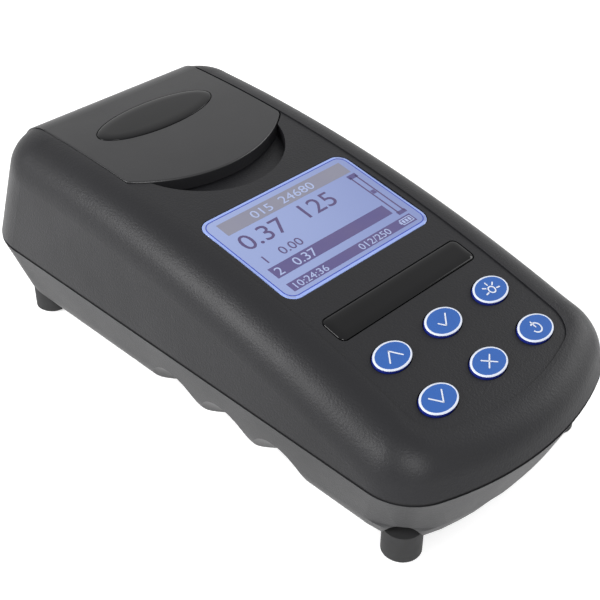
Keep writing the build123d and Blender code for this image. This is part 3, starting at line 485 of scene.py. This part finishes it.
class Workpiece:
    """One mesh while it is modelled: a primitive that operators shape in edit mode.

    Sizes are in millimetres. The piece is modelled flat at the origin and put in its place at the
    end, so that its object sits at the origin with its place in its mesh.
    """

    def __init__(self, name: str) -> None:
        """Starts a piece under its final name."""
        self.name = name
        self.half = (1.0, 1.0)
        self.height = 0.0
        self.middle = (0.0, 0.0)

    @staticmethod
    def clear_selection() -> None:
        """Leaves object mode on with nothing selected."""
        active = bpy.context.view_layer.objects.active
        if active is not None and active.mode != "OBJECT":
            bpy.ops.object.mode_set(mode="OBJECT")
        bpy.ops.object.select_all(action="DESELECT")

    def pick(self) -> None:
        """Makes this piece the active one and the only one selected, in object mode."""
        self.clear_selection()
        self.obj.select_set(True)
        bpy.context.view_layer.objects.active = self.obj

    def adopt(self) -> None:
        """Takes the object that an operator has just added, and names it."""
        self.obj = bpy.context.view_layer.objects.active
        self.obj.name = self.name
        self.obj.data.name = self.name

    def oval(
        self, half_x: float, half_y: float, middle: Spot = (0, 0), count: int = 96
    ) -> "Workpiece":
        """Starts with an oval face.

        Args:
            half_x: half length along x.
            half_y: half length along y.
            middle: centre of the oval.
            count: corners round the edge.

        Returns:
            The workpiece, with the face selected in edit mode.
        """
        self.clear_selection()
        bpy.ops.mesh.primitive_circle_add(vertices=count, radius=1.0, fill_type="NGON")
        self.adopt()
        return self.spread(half_x, half_y, middle)

    def slab(
        self, half_x: float, half_y: float, corner: float, middle: Spot = (0, 0)
    ) -> "Workpiece":
        """Starts with a rectangle whose corners are rounded.

        Args:
            half_x: half length along x.
            half_y: half length along y.
            corner: radius of the corners, or 0.
            middle: centre of the rectangle.

        Returns:
            The workpiece, with the face selected in edit mode.
        """
        self.clear_selection()
        bpy.ops.mesh.primitive_plane_add(size=2.0)
        self.adopt()
        self.spread(half_x, half_y, middle)
        if corner:
            bpy.ops.mesh.bevel(
                offset=corner * MM, offset_type="OFFSET", segments=CORNER_SEGMENTS, affect="VERTICES"
            )
        return self

    def spread(self, half_x: float, half_y: float, middle: Spot) -> "Workpiece":
        """Gives a unit face its size and its centre, and leaves it selected.

        Args:
            half_x: half length along x.
            half_y: half length along y.
            middle: centre of the face.

        Returns:
            The workpiece, in edit mode.
        """
        bpy.ops.object.mode_set(mode="EDIT")
        bpy.ops.mesh.select_all(action="SELECT")
        bpy.ops.transform.resize(value=(half_x * MM, half_y * MM, 1.0), center_override=ZERO)
        bpy.ops.transform.translate(value=(middle[0] * MM, middle[1] * MM, 0.0))
        self.half = (half_x, half_y)
        self.middle = middle
        self.height = 0.0
        return self

    def step(self, half_x: float, half_y: float, height: float) -> "Workpiece":
        """Extrudes the selected face into a ring up to a new size and height.

        Args:
            half_x: half length of the new face along x.
            half_y: half length of the new face along y.
            height: height of the new face above the plane.

        Returns:
            The workpiece, with the new face selected.
        """
        bpy.ops.mesh.extrude_region()
        ratio = (half_x / self.half[0], half_y / self.half[1], 1.0)
        centre = Vector((self.middle[0] * MM, self.middle[1] * MM, 0.0))
        bpy.ops.transform.resize(value=ratio, center_override=centre)
        bpy.ops.transform.translate(value=(0.0, 0.0, (height - self.height) * MM))
        self.half = (half_x, half_y)
        self.height = height
        return self

    def dome(self, rise: float, edge: float, rings: int = 6) -> "Workpiece":
        """Closes the selected face with a low dome.

        Args:
            rise: height that the dome adds.
            edge: how far in from the rim the dome keeps rising.
            rings: steps between the rim and the top.

        Returns:
            The workpiece, with its top face selected.
        """
        start, (half_x, half_y) = self.height, self.half
        for number in range(1, rings + 1):
            turn = number / rings * math.pi / 2
            inward = edge * (1 - math.cos(turn))
            self.step(half_x - inward, half_y - inward, start + rise * math.sin(turn))
        return self

    def round_edge(self, edge: float, degrees: Sequence[int]) -> "Workpiece":
        """Rounds the selected face's rim by rings at given angles of a quarter turn.

        Args:
            edge: radius of the rounding.
            degrees: angle of each ring, of which 90 is the last.

        Returns:
            The workpiece, with its top face selected.
        """
        start, (half_x, half_y) = self.height, self.half
        for turn in map(math.radians, degrees):
            inward = edge * (1 - math.cos(turn))
            self.step(half_x - inward, half_y - inward, start + edge * math.sin(turn))
        return self

    def paint(self, index: int, wanted: Callable[[Vector, Vector], bool]) -> "Workpiece":
        """Gives a material slot to the faces whose centre and normal pass a test.

        Args:
            index: number of the material slot.
            wanted: test on a face's centre, in millimetres, and its normal.

        Returns:
            The workpiece, still in edit mode.
        """
        mesh = bmesh.from_edit_mesh(self.obj.data)
        for face in mesh.faces:
            if wanted(face.calc_center_median() / MM, face.normal):
                face.material_index = index
        bmesh.update_edit_mesh(self.obj.data)
        return self

    def stack(self, others: Iterable["Workpiece"]) -> "Workpiece":
        """Joins other finished flat pieces into this one.

        Args:
            others: pieces in object mode, modelled on the same plane.

        Returns:
            The joined piece, in object mode.
        """
        self.pick()
        for other in others:
            other.obj.select_set(True)
        bpy.ops.object.join()
        self.obj.name = self.name
        return self

    def close(self, angle: float = 35.0) -> "Workpiece":
        """Makes the shell's normals agree, smooths it and leaves edit mode.

        Args:
            angle: edges sharper than this, in degrees, stay sharp.

        Returns:
            The workpiece, in object mode.
        """
        bpy.ops.mesh.select_all(action="SELECT")
        bpy.ops.mesh.normals_make_consistent(inside=False)
        self.pick()
        bpy.ops.object.shade_smooth_by_angle(angle=math.radians(angle))
        return self

    def fit(
        self,
        plane: Matrix,
        body: Body,
        slot: str,
        finishes: Sequence[Finish],
        stands_for: Sequence[str] = (),
    ) -> bpy.types.Object:
        """Puts the finished piece in its place and ties it to its body.

        Args:
            plane: placing matrix of the plane that the piece was modelled on.
            body: body that it moves with.
            slot: not used.
            finishes: finishes in the order of its material slots.
            stands_for: CAD nodes that it replaces.

        Returns:
            The finished object.
        """
        self.pick()
        self.obj.matrix_world = plane
        bpy.ops.object.transform_apply(location=True, rotation=True, scale=True)
        for finish in finishes:
            self.obj.data.materials.append(finish.material())
        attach(self.obj, body.value)
        if stands_for:
            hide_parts(*stands_for)
        return self.obj


def pen_stroke(name: str, start: Spot, end: Spot, width: float) -> Workpiece:
    """A straight printed stroke with round ends.

    Args:
        name: name of the piece.
        start: one end of the stroke's middle line, in millimetres.
        end: its other end.
        width: width of the stroke.

    Returns:
        The stroke, flat and closed, in object mode.
    """
    piece = Workpiece(name).oval(width / 2, width / 2, start, 20)
    along = Vector((end[0] - start[0], end[1] - start[1], 0.0))
    if along.length:
        mesh = bmesh.from_edit_mesh(piece.obj.data)
        origin = Vector((start[0], start[1], 0.0))
        for vertex in mesh.verts:
            vertex.select_set((vertex.co / MM - origin).dot(along) > 0)
        mesh.select_flush_mode()
        bmesh.update_edit_mesh(piece.obj.data)
        bpy.ops.transform.translate(value=along * MM)
    return raise_print(piece)


def raise_print(piece: Workpiece, thickness: float = INK_FILM) -> Workpiece:
    """Gives a flat printed shape its film of ink.

    Args:
        piece: the flat shape, in edit mode.
        thickness: height of the ink.

    Returns:
        The closed print, in object mode.
    """
    bpy.ops.mesh.select_all(action="SELECT")
    bpy.ops.mesh.extrude_region()
    bpy.ops.transform.translate(value=(0.0, 0.0, thickness * MM))
    return piece.close()


def pen_arc(
    name: str, middle: Spot, radius: float, width: float, start: float, sweep: float
) -> Workpiece:
    """A printed arc, spun from a short bar.

    Args:
        name: name of the piece.
        middle: centre of the arc, in millimetres.
        radius: radius of its middle line.
        width: width of the line.
        start: angle of its first end from +x, in degrees.
        sweep: angle that it covers, in degrees.

    Returns:
        The arc, flat and closed, in object mode.
    """
    piece = Workpiece(name)
    piece.clear_selection()
    bpy.ops.mesh.primitive_plane_add(size=2.0)
    piece.adopt()
    centre = Vector((middle[0], middle[1], 0.0)) * MM
    turn = math.radians(start)
    outward = Vector((math.cos(turn), math.sin(turn), 0.0)) * MM
    bpy.ops.object.mode_set(mode="EDIT")
    bpy.ops.mesh.select_all(action="SELECT")
    bpy.ops.mesh.merge(type="CENTER")
    bpy.ops.transform.translate(value=centre + outward * (radius - width / 2))
    bpy.ops.mesh.extrude_vertices_move(TRANSFORM_OT_translate={"value": outward * width})
    bpy.ops.mesh.select_all(action="SELECT")
    bpy.ops.mesh.spin(
        steps=max(ARC_LEAST, round(abs(sweep) / ARC_STEP)),
        angle=math.radians(sweep),
        center=centre,
        axis=(0.0, 0.0, 1.0),
    )
    bpy.ops.mesh.select_all(action="SELECT")
    bpy.ops.mesh.remove_doubles(threshold=0.0001 * MM)
    return raise_print(piece)


def numerals(
    name: str, digits: str, left: float, base: float, height: float, stretch: float = 1.0
) -> Workpiece:
    """Plain numerals as a print.

    Args:
        name: name of the piece.
        digits: figures and their separators.
        left: where the first figure starts, in millimetres.
        base: height of the line that they stand on.
        height: height of the figures.
        stretch: width of the figures against their usual width.

    Returns:
        The print, closed, in object mode.
    """
    piece = Workpiece(name)
    piece.clear_selection()
    bpy.ops.object.text_add()
    words = bpy.context.view_layer.objects.active
    words.data.body = digits
    words.data.size = height / FIGURE_SHARE * MM
    words.data.extrude = INK_FILM / 2 * MM
    words.data.resolution_u = 4
    bpy.ops.object.convert(target="MESH")
    piece.adopt()
    bpy.ops.object.mode_set(mode="EDIT")
    bpy.ops.mesh.select_all(action="SELECT")
    bpy.ops.mesh.remove_doubles(threshold=0.001 * MM)
    bpy.ops.transform.resize(value=(stretch, 1.0, 1.0), center_override=ZERO)
    bpy.ops.transform.translate(value=(left * MM, base * MM, INK_FILM / 2 * MM))
    return piece.close()


@dataclass
class Case:
    """The CAD pieces that keep their shape, dressed in their finishes, given by node."""

    finishes: dict[str, Finish]

    def dress(self, nodes: dict[str, bpy.types.Object]) -> None:
        """Gives each CAD node its material.

        Args:
            nodes: the frame's nodes by name.
        """
        for name, finish in self.finishes.items():
            mesh = nodes[name].data
            if mesh.materials:
                mesh.materials[0] = finish.material()
            else:
                mesh.materials.append(finish.material())
        log.info("dressed %d nodes of the case", len(self.finishes))


@dataclass
class DomedLabel:
    """A blank label with a straight edge and a poured dome.

    Attributes:
        corner: radius of its corners, or 0 for an oval.
        place_y: place of its centre along the case.
        foot, edge_height: heights of its straight edge's ends against the crown.
        dome_edge: how far in from the rim the dome keeps rising.
    """

    crown: Crown
    name: str
    node: str
    body: Body
    half_x: float
    half_y: float
    corner: float
    place_y: float
    foot: float
    edge_height: float
    dome_rise: float
    dome_edge: float
    rings: int

    def build(self) -> None:
        """Models the label's straight edge, then its dome."""
        piece = Workpiece(self.name)
        if self.corner:
            piece.slab(self.half_x, self.half_y, self.corner)
        else:
            piece.oval(self.half_x, self.half_y)
        piece.step(self.half_x, self.half_y, self.edge_height - self.foot)
        piece.dome(self.dome_rise, self.dome_edge, self.rings)
        piece.close(50)
        plane = self.crown.plane(self.place_y, -self.foot)
        piece.fit(plane, self.body, "dome_label", [DOME_RESIN], [self.node])
        log.info("%s", self.name)


@dataclass
class LidBadge(DomedLabel):
    """The blank oval dome on the lid."""

    name: str = "badge_dome"
    node: str = "lid_badge"
    body: Body = Body.LID
    half_x: float = 21.3
    half_y: float = 7.8
    corner: float = 0.0
    place_y: float = 55.917
    foot: float = -0.8
    edge_height: float = -0.05
    dome_rise: float = 0.5
    dome_edge: float = 3.4
    rings: int = 10


@dataclass
class Nameplate(DomedLabel):
    """The blank long dome between the display and the keys."""

    name: str = "nameplate_dome"
    node: str = "nameplate"
    body: Body = Body.CASE
    half_x: float = 26.7
    half_y: float = 4.1
    corner: float = 1.8
    place_y: float = -43.2
    foot: float = -1.0
    edge_height: float = -0.45
    dome_rise: float = 0.62
    dome_edge: float = 2.6
    rings: int = 8


# Filled parts of the picture: their left, lower, right and upper limits, and their colours.
HEADINGS = {
    "heading_bar": ((-23.6, 10.3, 24.6, 15.4), SEGMENT_GREY),
    "chosen_bar": ((-24.4, -9.9, 20.6, -5.6), SEGMENT_BAR),
    "status_bar": ((-24.4, -15.9, 24.4, -12.6), SEGMENT_BAR),
}
SCROLL_BAR = {
    "scroll_rail_0": ((21.95, -11.0, 22.45, 8.6), SEGMENT),
    "scroll_rail_1": ((24.15, -11.0, 24.65, 8.6), SEGMENT),
    "scroll_top": ((21.6, 7.6, 25.0, 9.4), SEGMENT_BAR),
    "scroll_slider": ((22.6, -0.8, 24.0, 0.8), SEGMENT_BAR),
    "scroll_foot": ((21.6, -11.6, 25.0, -10.2), SEGMENT_BAR),
}
# Rows of figures: name, figures, left end, base line, height, stretch, colour and level.
FIGURES = (
    ("heading_figures", "015  24680", -13.0, 11.3, 3.1, 1.25, SEGMENT_CLEAR, FILL_FILM),
    ("reading_figures", "0.37  125", -23.6, 2.6, 6.2, 1.12, SEGMENT, 0.0),
    ("first_line_figures", "1   0.00", -23.4, -3.9, 3.1, 1.15, SEGMENT, 0.0),
    ("chosen_line_figures", "2   0.37", -23.4, -9.3, 3.1, 1.15, SEGMENT_CLEAR, FILL_FILM),
    ("clock_figures", "10:24:36", -23.6, -15.5, 2.4, 1.15, SEGMENT_CLEAR, FILL_FILM),
    ("count_figures", "012/250", 2.0, -15.5, 2.4, 1.15, SEGMENT_CLEAR, FILL_FILM),
)


@dataclass
class Display:
    """The clear pane and the picture that shows through it.

    Attributes:
        place_y, depth: place of its centre along the case, and depth under the crown.
        line_half_x, line_half_y, line_width, line_corner: sizes of the line round the picture.
        overlap: how far the picture's margin lies under that line.
        charge_y: place of the charge sign along the pane.
    """

    crown: Crown
    half_x: float = 28.2
    half_y: float = 18.4
    corner: float = 4.0
    place_y: float = -12.3
    depth: float = 0.65
    thickness: float = 1.2
    edge: float = 0.25
    line_half_x: float = 27.3
    line_half_y: float = 17.5
    line_width: float = 0.3
    line_corner: float = 3.2
    overlap: float = 0.1
    charge_y: float = -14.25

    def build(self) -> None:
        """Models the pane, its line and each part of the picture."""
        self.pane()
        self.line()
        self.bars(HEADINGS)
        self.figures()
        self.bars(SCROLL_BAR)
        self.battery()

    def plane(self, lift: float = 0.0) -> Matrix:
        """Placing matrix of the pane's face, or of a level above it."""
        return self.crown.plane(self.place_y, self.depth - lift)

    def pane(self) -> None:
        """The pane, with a small rounded edge."""
        piece = Workpiece("display_pane").slab(self.half_x, self.half_y, self.corner)
        piece.step(self.half_x, self.half_y, self.thickness - self.edge)
        piece.round_edge(self.edge, (30, 60, 90))
        piece.step(self.line_half_x, self.line_half_y, self.thickness)
        reach_x, reach_y = self.line_half_x - self.overlap, self.line_half_y - self.overlap

        def in_picture(centre: Vector, normal: Vector) -> bool:
            """Whether a face is the top face inside the line."""
            on_top = normal.z > 0.9 and centre.z > self.thickness - 0.01
            return on_top and abs(centre.x) < reach_x and abs(centre.y) < reach_y

        piece.paint(1, in_picture)
        piece.close(20)
        finishes = [PANE_MARGIN, PICTURE]
        low = self.plane(-self.thickness)
        piece.fit(low, Body.CASE, "window_plastic", finishes, ["display_window"])
        log.info("display_pane")

    def print_at(self, piece: Workpiece, finish: Finish, level: float = 0.0) -> None:
        """Lays a print on the pane.

        Args:
            piece: the flat print.
            finish: its ink.
            level: height above the pane, for a print on another.
        """
        piece.fit(self.plane(level), Body.CASE, "window_plastic", [finish])
        log.info("%s", piece.name)

    def line(self) -> None:
        """The thin line round the picture."""
        piece = Workpiece("pane_line").slab(self.line_half_x, self.line_half_y, self.line_corner)
        bpy.ops.mesh.inset(thickness=self.line_width * MM, depth=0.0)
        bpy.ops.mesh.delete(type="FACE")
        self.print_at(raise_print(piece), PANE_LINE)

    def bar(self, name: str, box: Sequence[float], finish: Finish) -> None:
        """A filled bar of the picture.

        Args:
            name: name of the piece.
            box: its left, lower, right and upper limits.
            finish: its colour.
        """
        left, low, right, high = box
        middle = ((left + right) / 2, (low + high) / 2)
        piece = Workpiece(name).slab((right - left) / 2, (high - low) / 2, 0.0, middle)
        self.print_at(raise_print(piece, FILL_FILM), finish)

    def bars(self, parts: dict[str, tuple[Sequence[float], Finish]]) -> None:
        """Filled parts, given by name with their limits and colours."""
        for name, (box, finish) in parts.items():
            self.bar(name, box, finish)

    def figures(self) -> None:
        """The reading and the plain numbers of the other lines."""
        for name, digits, left, base, height, stretch, finish, level in FIGURES:
            self.print_at(numerals(name, digits, left, base, height, stretch), finish, level)

    def battery(self) -> None:
        """The charge sign at the end of the status line."""
        y = self.charge_y
        outline = Workpiece("charge_outline").slab(2.3, 1.15, 0.3, (21.6, y))
        bpy.ops.mesh.inset(thickness=0.3 * MM, depth=0.0)
        bpy.ops.mesh.delete(type="FACE")
        self.print_at(raise_print(outline), SEGMENT_CLEAR, FILL_FILM)
        cells = [
            raise_print(Workpiece(f"charge_cell_{number}").slab(0.4, 0.6, 0.0, (x, y)))
            for number, x in enumerate((20.4, 21.6, 22.8))
        ]
        tip = raise_print(Workpiece("charge_tip").slab(0.2, 0.5, 0.0, (19.05, y)))
        cells[0].name = "charge_cells"
        self.print_at(cells[0].stack([*cells[1:], tip]), SEGMENT_CLEAR, FILL_FILM)


def lamp_ray(degrees: int) -> list[Spot]:
    """One ray of the lamp sign, at an angle from +x, from its near end to its far end."""
    turn = math.radians(degrees)
    near = (1.75 * math.cos(turn), 1.75 * math.sin(turn) - 0.35)
    return [near, (2.75 * math.cos(turn), 2.6 * math.sin(turn) - 0.35)]


# Lines of the signs, from point to point, in millimetres from the key's centre.
SIGN_LINES: dict[Sign, list[list[Spot]]] = {
    Sign.CHEVRON_UP: [[(-2.4, -1.4), (0.0, 1.5), (2.4, -1.4)]],
    Sign.CHEVRON_DOWN: [[(-2.4, 1.4), (0.0, -1.5), (2.4, 1.4)]],
    Sign.TICK: [[(-2.0, 0.1), (-0.6, -1.5), (2.2, 1.5)]],
    Sign.CROSS: [[(-1.7, -1.4), (1.7, 1.4)], [(-1.7, 1.4), (1.7, -1.4)]],
    Sign.POWER: [[(0.0, 0.1), (0.0, 2.0)]],
    Sign.LAMP: [lamp_ray(degrees) for degrees in (-10, 40, 90, 140, 190)],
}
# Arcs of the signs: height of the centre, radius, first angle and sweep.
SIGN_ARCS: dict[Sign, tuple[float, float, float, float]] = {
    Sign.POWER: (-0.15, 1.55, 125, 290),
    Sign.LAMP: (-0.35, 1.05, 0, 360),
}


@dataclass
class Key:
    """One oval key: a flanged cap with a white rim, a blue face and a printed sign.

    Attributes:
        column, row: place in the keypad, where row 1 is nearer the display.
        panel_depth: depth of the panel under the crown.
        foot, flange_top: heights of the flange's faces against the panel.
        proud, edge: height of the cap above the panel, and radius of its rounded edge.
        line: width of the sign's lines.
        face_drop, face_slope: depth of the blue face, and width of the slope down to it.
        white_share: share of the rounded edge's height that isn't white.
        seam, blue_share: limits of the blue inside the rim.
    """

    crown: Crown
    node: str
    body: Body
    sign: Sign
    column: int
    row: int
    half_x: float = 6.1
    half_y: float = 4.3
    rim: float = 0.55
    pitch_x: float = 20.0
    pitch_y: float = 16.0
    place_y: float = -65.25
    panel_depth: float = 0.35
    foot: float = -3.45
    flange_reach: float = 1.2
    flange_top: float = -2.45
    proud: float = 0.9
    edge: float = 0.45
    stem_radius: float = 1.6
    stem_length: float = 1.0
    line: float = 0.42
    face_drop: float = 0.06
    face_slope: float = 0.05
    white_share: float = 0.75
    seam: float = 0.02
    blue_share: float = 0.98

    def middle(self) -> Spot:
        """Centre of the key in the plane of the keypad."""
        return self.column * self.pitch_x, self.row * self.pitch_y / 2

    def build(self) -> None:
        """Models the cap, then its sign."""
        self.cap()
        parts = self.strokes()
        parts[0].name = f"{self.node}_sign"
        whole = parts[0].stack(parts[1:])
        top = self.crown.plane(self.place_y, self.panel_depth - self.proud)
        whole.fit(top, self.body, "key_plastic", [WHITE_INK])
        log.info("%s with its sign", self.node)

    def cap(self) -> None:
        """The cap, from its stem through its flange to its face."""
        x, y = self.half_x, self.half_y
        base = self.foot - self.stem_length
        name = f"{self.node}_cap"
        piece = Workpiece(name).oval(self.stem_radius, self.stem_radius, self.middle(), 72)
        piece.step(self.stem_radius, self.stem_radius, self.stem_length)
        piece.step(x + self.flange_reach, y + self.flange_reach, self.foot - base)
        piece.step(x + self.flange_reach, y + self.flange_reach, self.flange_top - base)
        piece.step(x, y, self.flange_top - base)
        top = self.proud - base
        piece.step(x, y, top - self.edge)
        piece.round_edge(self.edge, (22, 45, 67, 90))
        piece.step(x - self.rim, y - self.rim, top)
        inner = self.rim + self.face_slope
        piece.step(x - inner, y - inner, top - self.face_drop)
        white_from = top - self.edge * self.white_share
        centre = self.middle()
        reach_x, reach_y = x - self.rim - self.seam, y - self.rim - self.seam

        def in_face(spot: Vector, normal: Vector) -> bool:
            """Whether a face lies inside the rim."""
            across, along = (spot.x - centre[0]) / reach_x, (spot.y - centre[1]) / reach_y
            return spot.z > white_from and across**2 + along**2 < self.blue_share

        piece.paint(1, lambda spot, normal: spot.z > white_from)
        piece.paint(2, in_face)
        piece.close(40)
        plane = self.crown.plane(self.place_y, self.panel_depth - base)
        # Stem, flange and sides get the blue in painted shade, the rim white ink, the face its own
        # blue.
        piece.fit(plane, self.body, "key_plastic", [KEY_SIDE_IN_SHADE, WHITE_INK, KEY_BLUE], [self.node])

    def strokes(self) -> list[Workpiece]:
        """The strokes of the key's sign, flat on its face.

        Returns:
            The strokes, at least one, in object mode.
        """
        x, y = self.middle()
        made: list[Workpiece] = []
        if self.sign in SIGN_ARCS:
            rise, radius, start, sweep = SIGN_ARCS[self.sign]
            name = f"{self.node}_arc"
            made.append(pen_arc(name, (x, y + rise), radius, self.line, start, sweep))
        for points in SIGN_LINES[self.sign]:
            spots = [(x + a, y + b) for a, b in points]
            for number, (near, far) in enumerate(zip(spots, spots[1:])):
                made.append(pen_stroke(f"{self.node}_stroke_{number}", near, far, self.line))
        return made


@dataclass
class Keypad:
    """The six keys, in two rows of three."""

    crown: Crown

    def build(self) -> None:
        """Builds the keys from the left of the row nearer the display."""
        keys = [
            ("key_up", Body.UP, Sign.CHEVRON_UP, -1, 1),
            ("key_enter", Body.ENTER, Sign.TICK, 0, 1),
            ("key_light", Body.LIGHT, Sign.LAMP, 1, 1),
            ("key_down", Body.DOWN, Sign.CHEVRON_DOWN, -1, -1),
            ("key_exit", Body.EXIT, Sign.CROSS, 0, -1),
            ("key_power", Body.POWER, Sign.POWER, 1, -1),
        ]
        for node, body, sign, column, row in keys:
            Key(self.crown, node, body, sign, column, row).build()


@dataclass
class WellPlugs:
    """Rubber plugs that close the four screw wells under the case.

    Attributes:
        radius: radius of a plug, just under the well's.
        from_middle: half of the wells' pitch across the case.
        rows: places of the wells along the case.
        foot: height of the plug's lower face above the bench.
        height: length of the plug, which ends below the screw's head.
        edge: bevel round the lower face.
    """

    radius: float = 5.4
    from_middle: float = 33.5
    rows: tuple[float, float] = (-75.5, 73.5)
    foot: float = 0.2
    height: float = 9.0
    edge: float = 0.5

    def build(self) -> None:
        """Models each plug in its well."""
        places = [(side * self.from_middle, row) for row in self.rows for side in (-1, 1)]
        for number, place in enumerate(places):
            low = self.radius - self.edge
            piece = Workpiece(f"well_plug_{number}").oval(low, low, place, 48)
            piece.step(self.radius, self.radius, self.edge)
            piece.step(self.radius, self.radius, self.height)
            piece.close()
            lift = Matrix.Translation((0.0, 0.0, self.foot * MM))
            piece.fit(lift, Body.CASE, "black_rubber", [RUBBER])
        log.info("%d well plugs", len(places))


@dataclass
class Lamp:
    """A soft rectangular lamp.

    Attributes:
        name: name of the lamp.
        place: where it hangs, in metres.
        aim: the point that it faces.
        size: its two sides, in metres.
        power: its power in watts.
    """

    name: str
    place: tuple[float, float, float]
    aim: tuple[float, float, float]
    size: tuple[float, float]
    power: float

    def build(self) -> None:
        """Adds the lamp to the scene."""
        bpy.ops.object.light_add(type="AREA", location=self.place)
        lamp = bpy.context.view_layer.objects.active
        lamp.name = self.name
        lamp.data.shape = "RECTANGLE"
        lamp.data.size, lamp.data.size_y = self.size
        lamp.data.energy = self.power
        facing = Vector(self.aim) - Vector(self.place)
        lamp.rotation_euler = facing.to_track_quat("-Z", "Y").to_euler()


@dataclass
class Studio:
    """The pale floor, the soft light and the camera.

    Attributes:
        azimuth: the camera's bearing round the object, in degrees.
        elevation: its height above the horizon, in degrees.
        roll: its turn about its own line of sight, in degrees.
        place: where it stands, in metres.
        focal_px: its focal length in pixels of the frame, which is frame_px wide.
        floor_reach: half side of the floor, in metres.
        paper: sRGB hex of the floor.
        glow: how much the floor is lifted where it is seen directly.
        fill: strength of the even light from all round.
    """

    azimuth: float = -45.687
    elevation: float = 36.42
    roll: float = 0.485
    place: tuple[float, float, float] = (-0.2017, -0.2028, 0.2332)
    focal_px: float = 1197.5
    frame_px: int = 600
    sensor_mm: float = 36.0
    floor_reach: float = 6.0
    paper: str = "#ececec"
    glow: float = 0.5
    fill: float = 0.5

    def build(self) -> None:
        """Builds floor, world, lamps and camera."""
        Workpiece.clear_selection()
        self.floor()
        self.world()
        for lamp in self.lamps():
            lamp.build()
        self.camera()
        bpy.context.scene.view_settings.view_transform = "Standard"
        log.info("studio")

    def seen(self, tree: Tree) -> Socket:
        """1 for rays that show the background: from the camera, or by gloss or glass.

        Args:
            tree: the node tree that asks.

        Returns:
            The socket with the mask.
        """
        rays = add_node(tree, "ShaderNodeLightPath").outputs
        direct = reckon(tree, "MAXIMUM", rays["Is Camera Ray"], rays["Is Glossy Ray"])
        return reckon(tree, "MAXIMUM", direct, rays["Is Transmission Ray"])

    def floor(self) -> None:
        """A plain pale floor that keeps a soft shadow."""
        bpy.ops.mesh.primitive_plane_add(size=2 * self.floor_reach)
        plane = bpy.context.view_layer.objects.active
        plane.name = "floor"
        material = bpy.data.materials.new("pale paper")
        material.use_nodes = True
        tree = material.node_tree
        tree.nodes.clear()
        paper = add_node(tree, "ShaderNodeBsdfDiffuse", {"Color": linear(self.paper)})
        lift = reckon(tree, "MULTIPLY", self.seen(tree), self.glow)
        glow = add_node(tree, "ShaderNodeEmission", {"Color": (1, 1, 1, 1)}, {"Strength": lift})
        parts = {0: paper.outputs[0], 1: glow.outputs[0]}
        both = add_node(tree, "ShaderNodeAddShader", links=parts)
        add_node(tree, "ShaderNodeOutputMaterial", links={"Surface": both.outputs[0]})
        plane.data.materials.append(material)

    def world(self) -> None:
        """White behind the object, and an even fill light on it."""
        world = bpy.data.worlds.new("studio")
        world.use_nodes = True
        tree = world.node_tree
        tree.nodes.clear()
        ends = {"To Min": self.fill, "To Max": 1.0}
        strength = add_node(tree, "ShaderNodeMapRange", ends, {"Value": self.seen(tree)}).outputs[0]
        white = {"Color": (1, 1, 1, 1)}
        sky = add_node(tree, "ShaderNodeBackground", white, {"Strength": strength})
        add_node(tree, "ShaderNodeOutputWorld", links={"Surface": sky.outputs[0]})
        bpy.context.scene.world = world

    def lamps(self) -> list[Lamp]:
        """The soft boxes round the object."""
        return [
            Lamp("left_softbox", (-0.8, 0.3, 0.5), (0.0, 0.0, 0.03), (0.5, 0.4), 9.0),
            Lamp("camera_softbox", (-0.45, -0.75, 0.6), (0.0, -0.03, 0.03), (0.3, 0.3), 5.0),
            Lamp("right_softbox", (0.85, -0.35, 0.4), (0.0, 0.0, 0.03), (0.5, 0.5), 3.0),
        ]

    def camera(self) -> None:
        """The camera at the photograph's angle."""
        data = bpy.data.cameras.new("camera")
        data.sensor_width = self.sensor_mm
        data.lens = self.focal_px / self.frame_px * self.sensor_mm
        data.clip_start, data.clip_end = 0.01, 50.0
        camera = bpy.data.objects.new("camera", data)
        bpy.context.scene.collection.objects.link(camera)
        a, e, r = (math.radians(v) for v in (self.azimuth, self.elevation, self.roll))
        back = Vector((math.sin(a) * math.cos(e), -math.cos(a) * math.cos(e), math.sin(e)))
        right = Vector((0.0, 0.0, 1.0)).cross(back).normalized()
        up = back.cross(right)
        rolled_right = right * math.cos(r) + up * math.sin(r)
        rolled_up = up * math.cos(r) - right * math.sin(r)
        turn = Matrix((rolled_right, rolled_up, back)).transposed().to_4x4()
        camera.matrix_world = Matrix.Translation(Vector(self.place)) @ turn
        bpy.context.scene.camera = camera


def main() -> None:
    """Builds the dressed instrument in its studio."""
    logging.basicConfig(level=logging.INFO, format="%(name)s: %(message)s")
    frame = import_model()
    crown = Crown()
    Case(NODE_FINISHES).dress(frame["nodes"])
    LidBadge(crown).build()
    Display(crown).build()
    Nameplate(crown).build()
    Keypad(crown).build()
    WellPlugs().build()
    Studio().build()


if __name__ == "__main__":
    main()
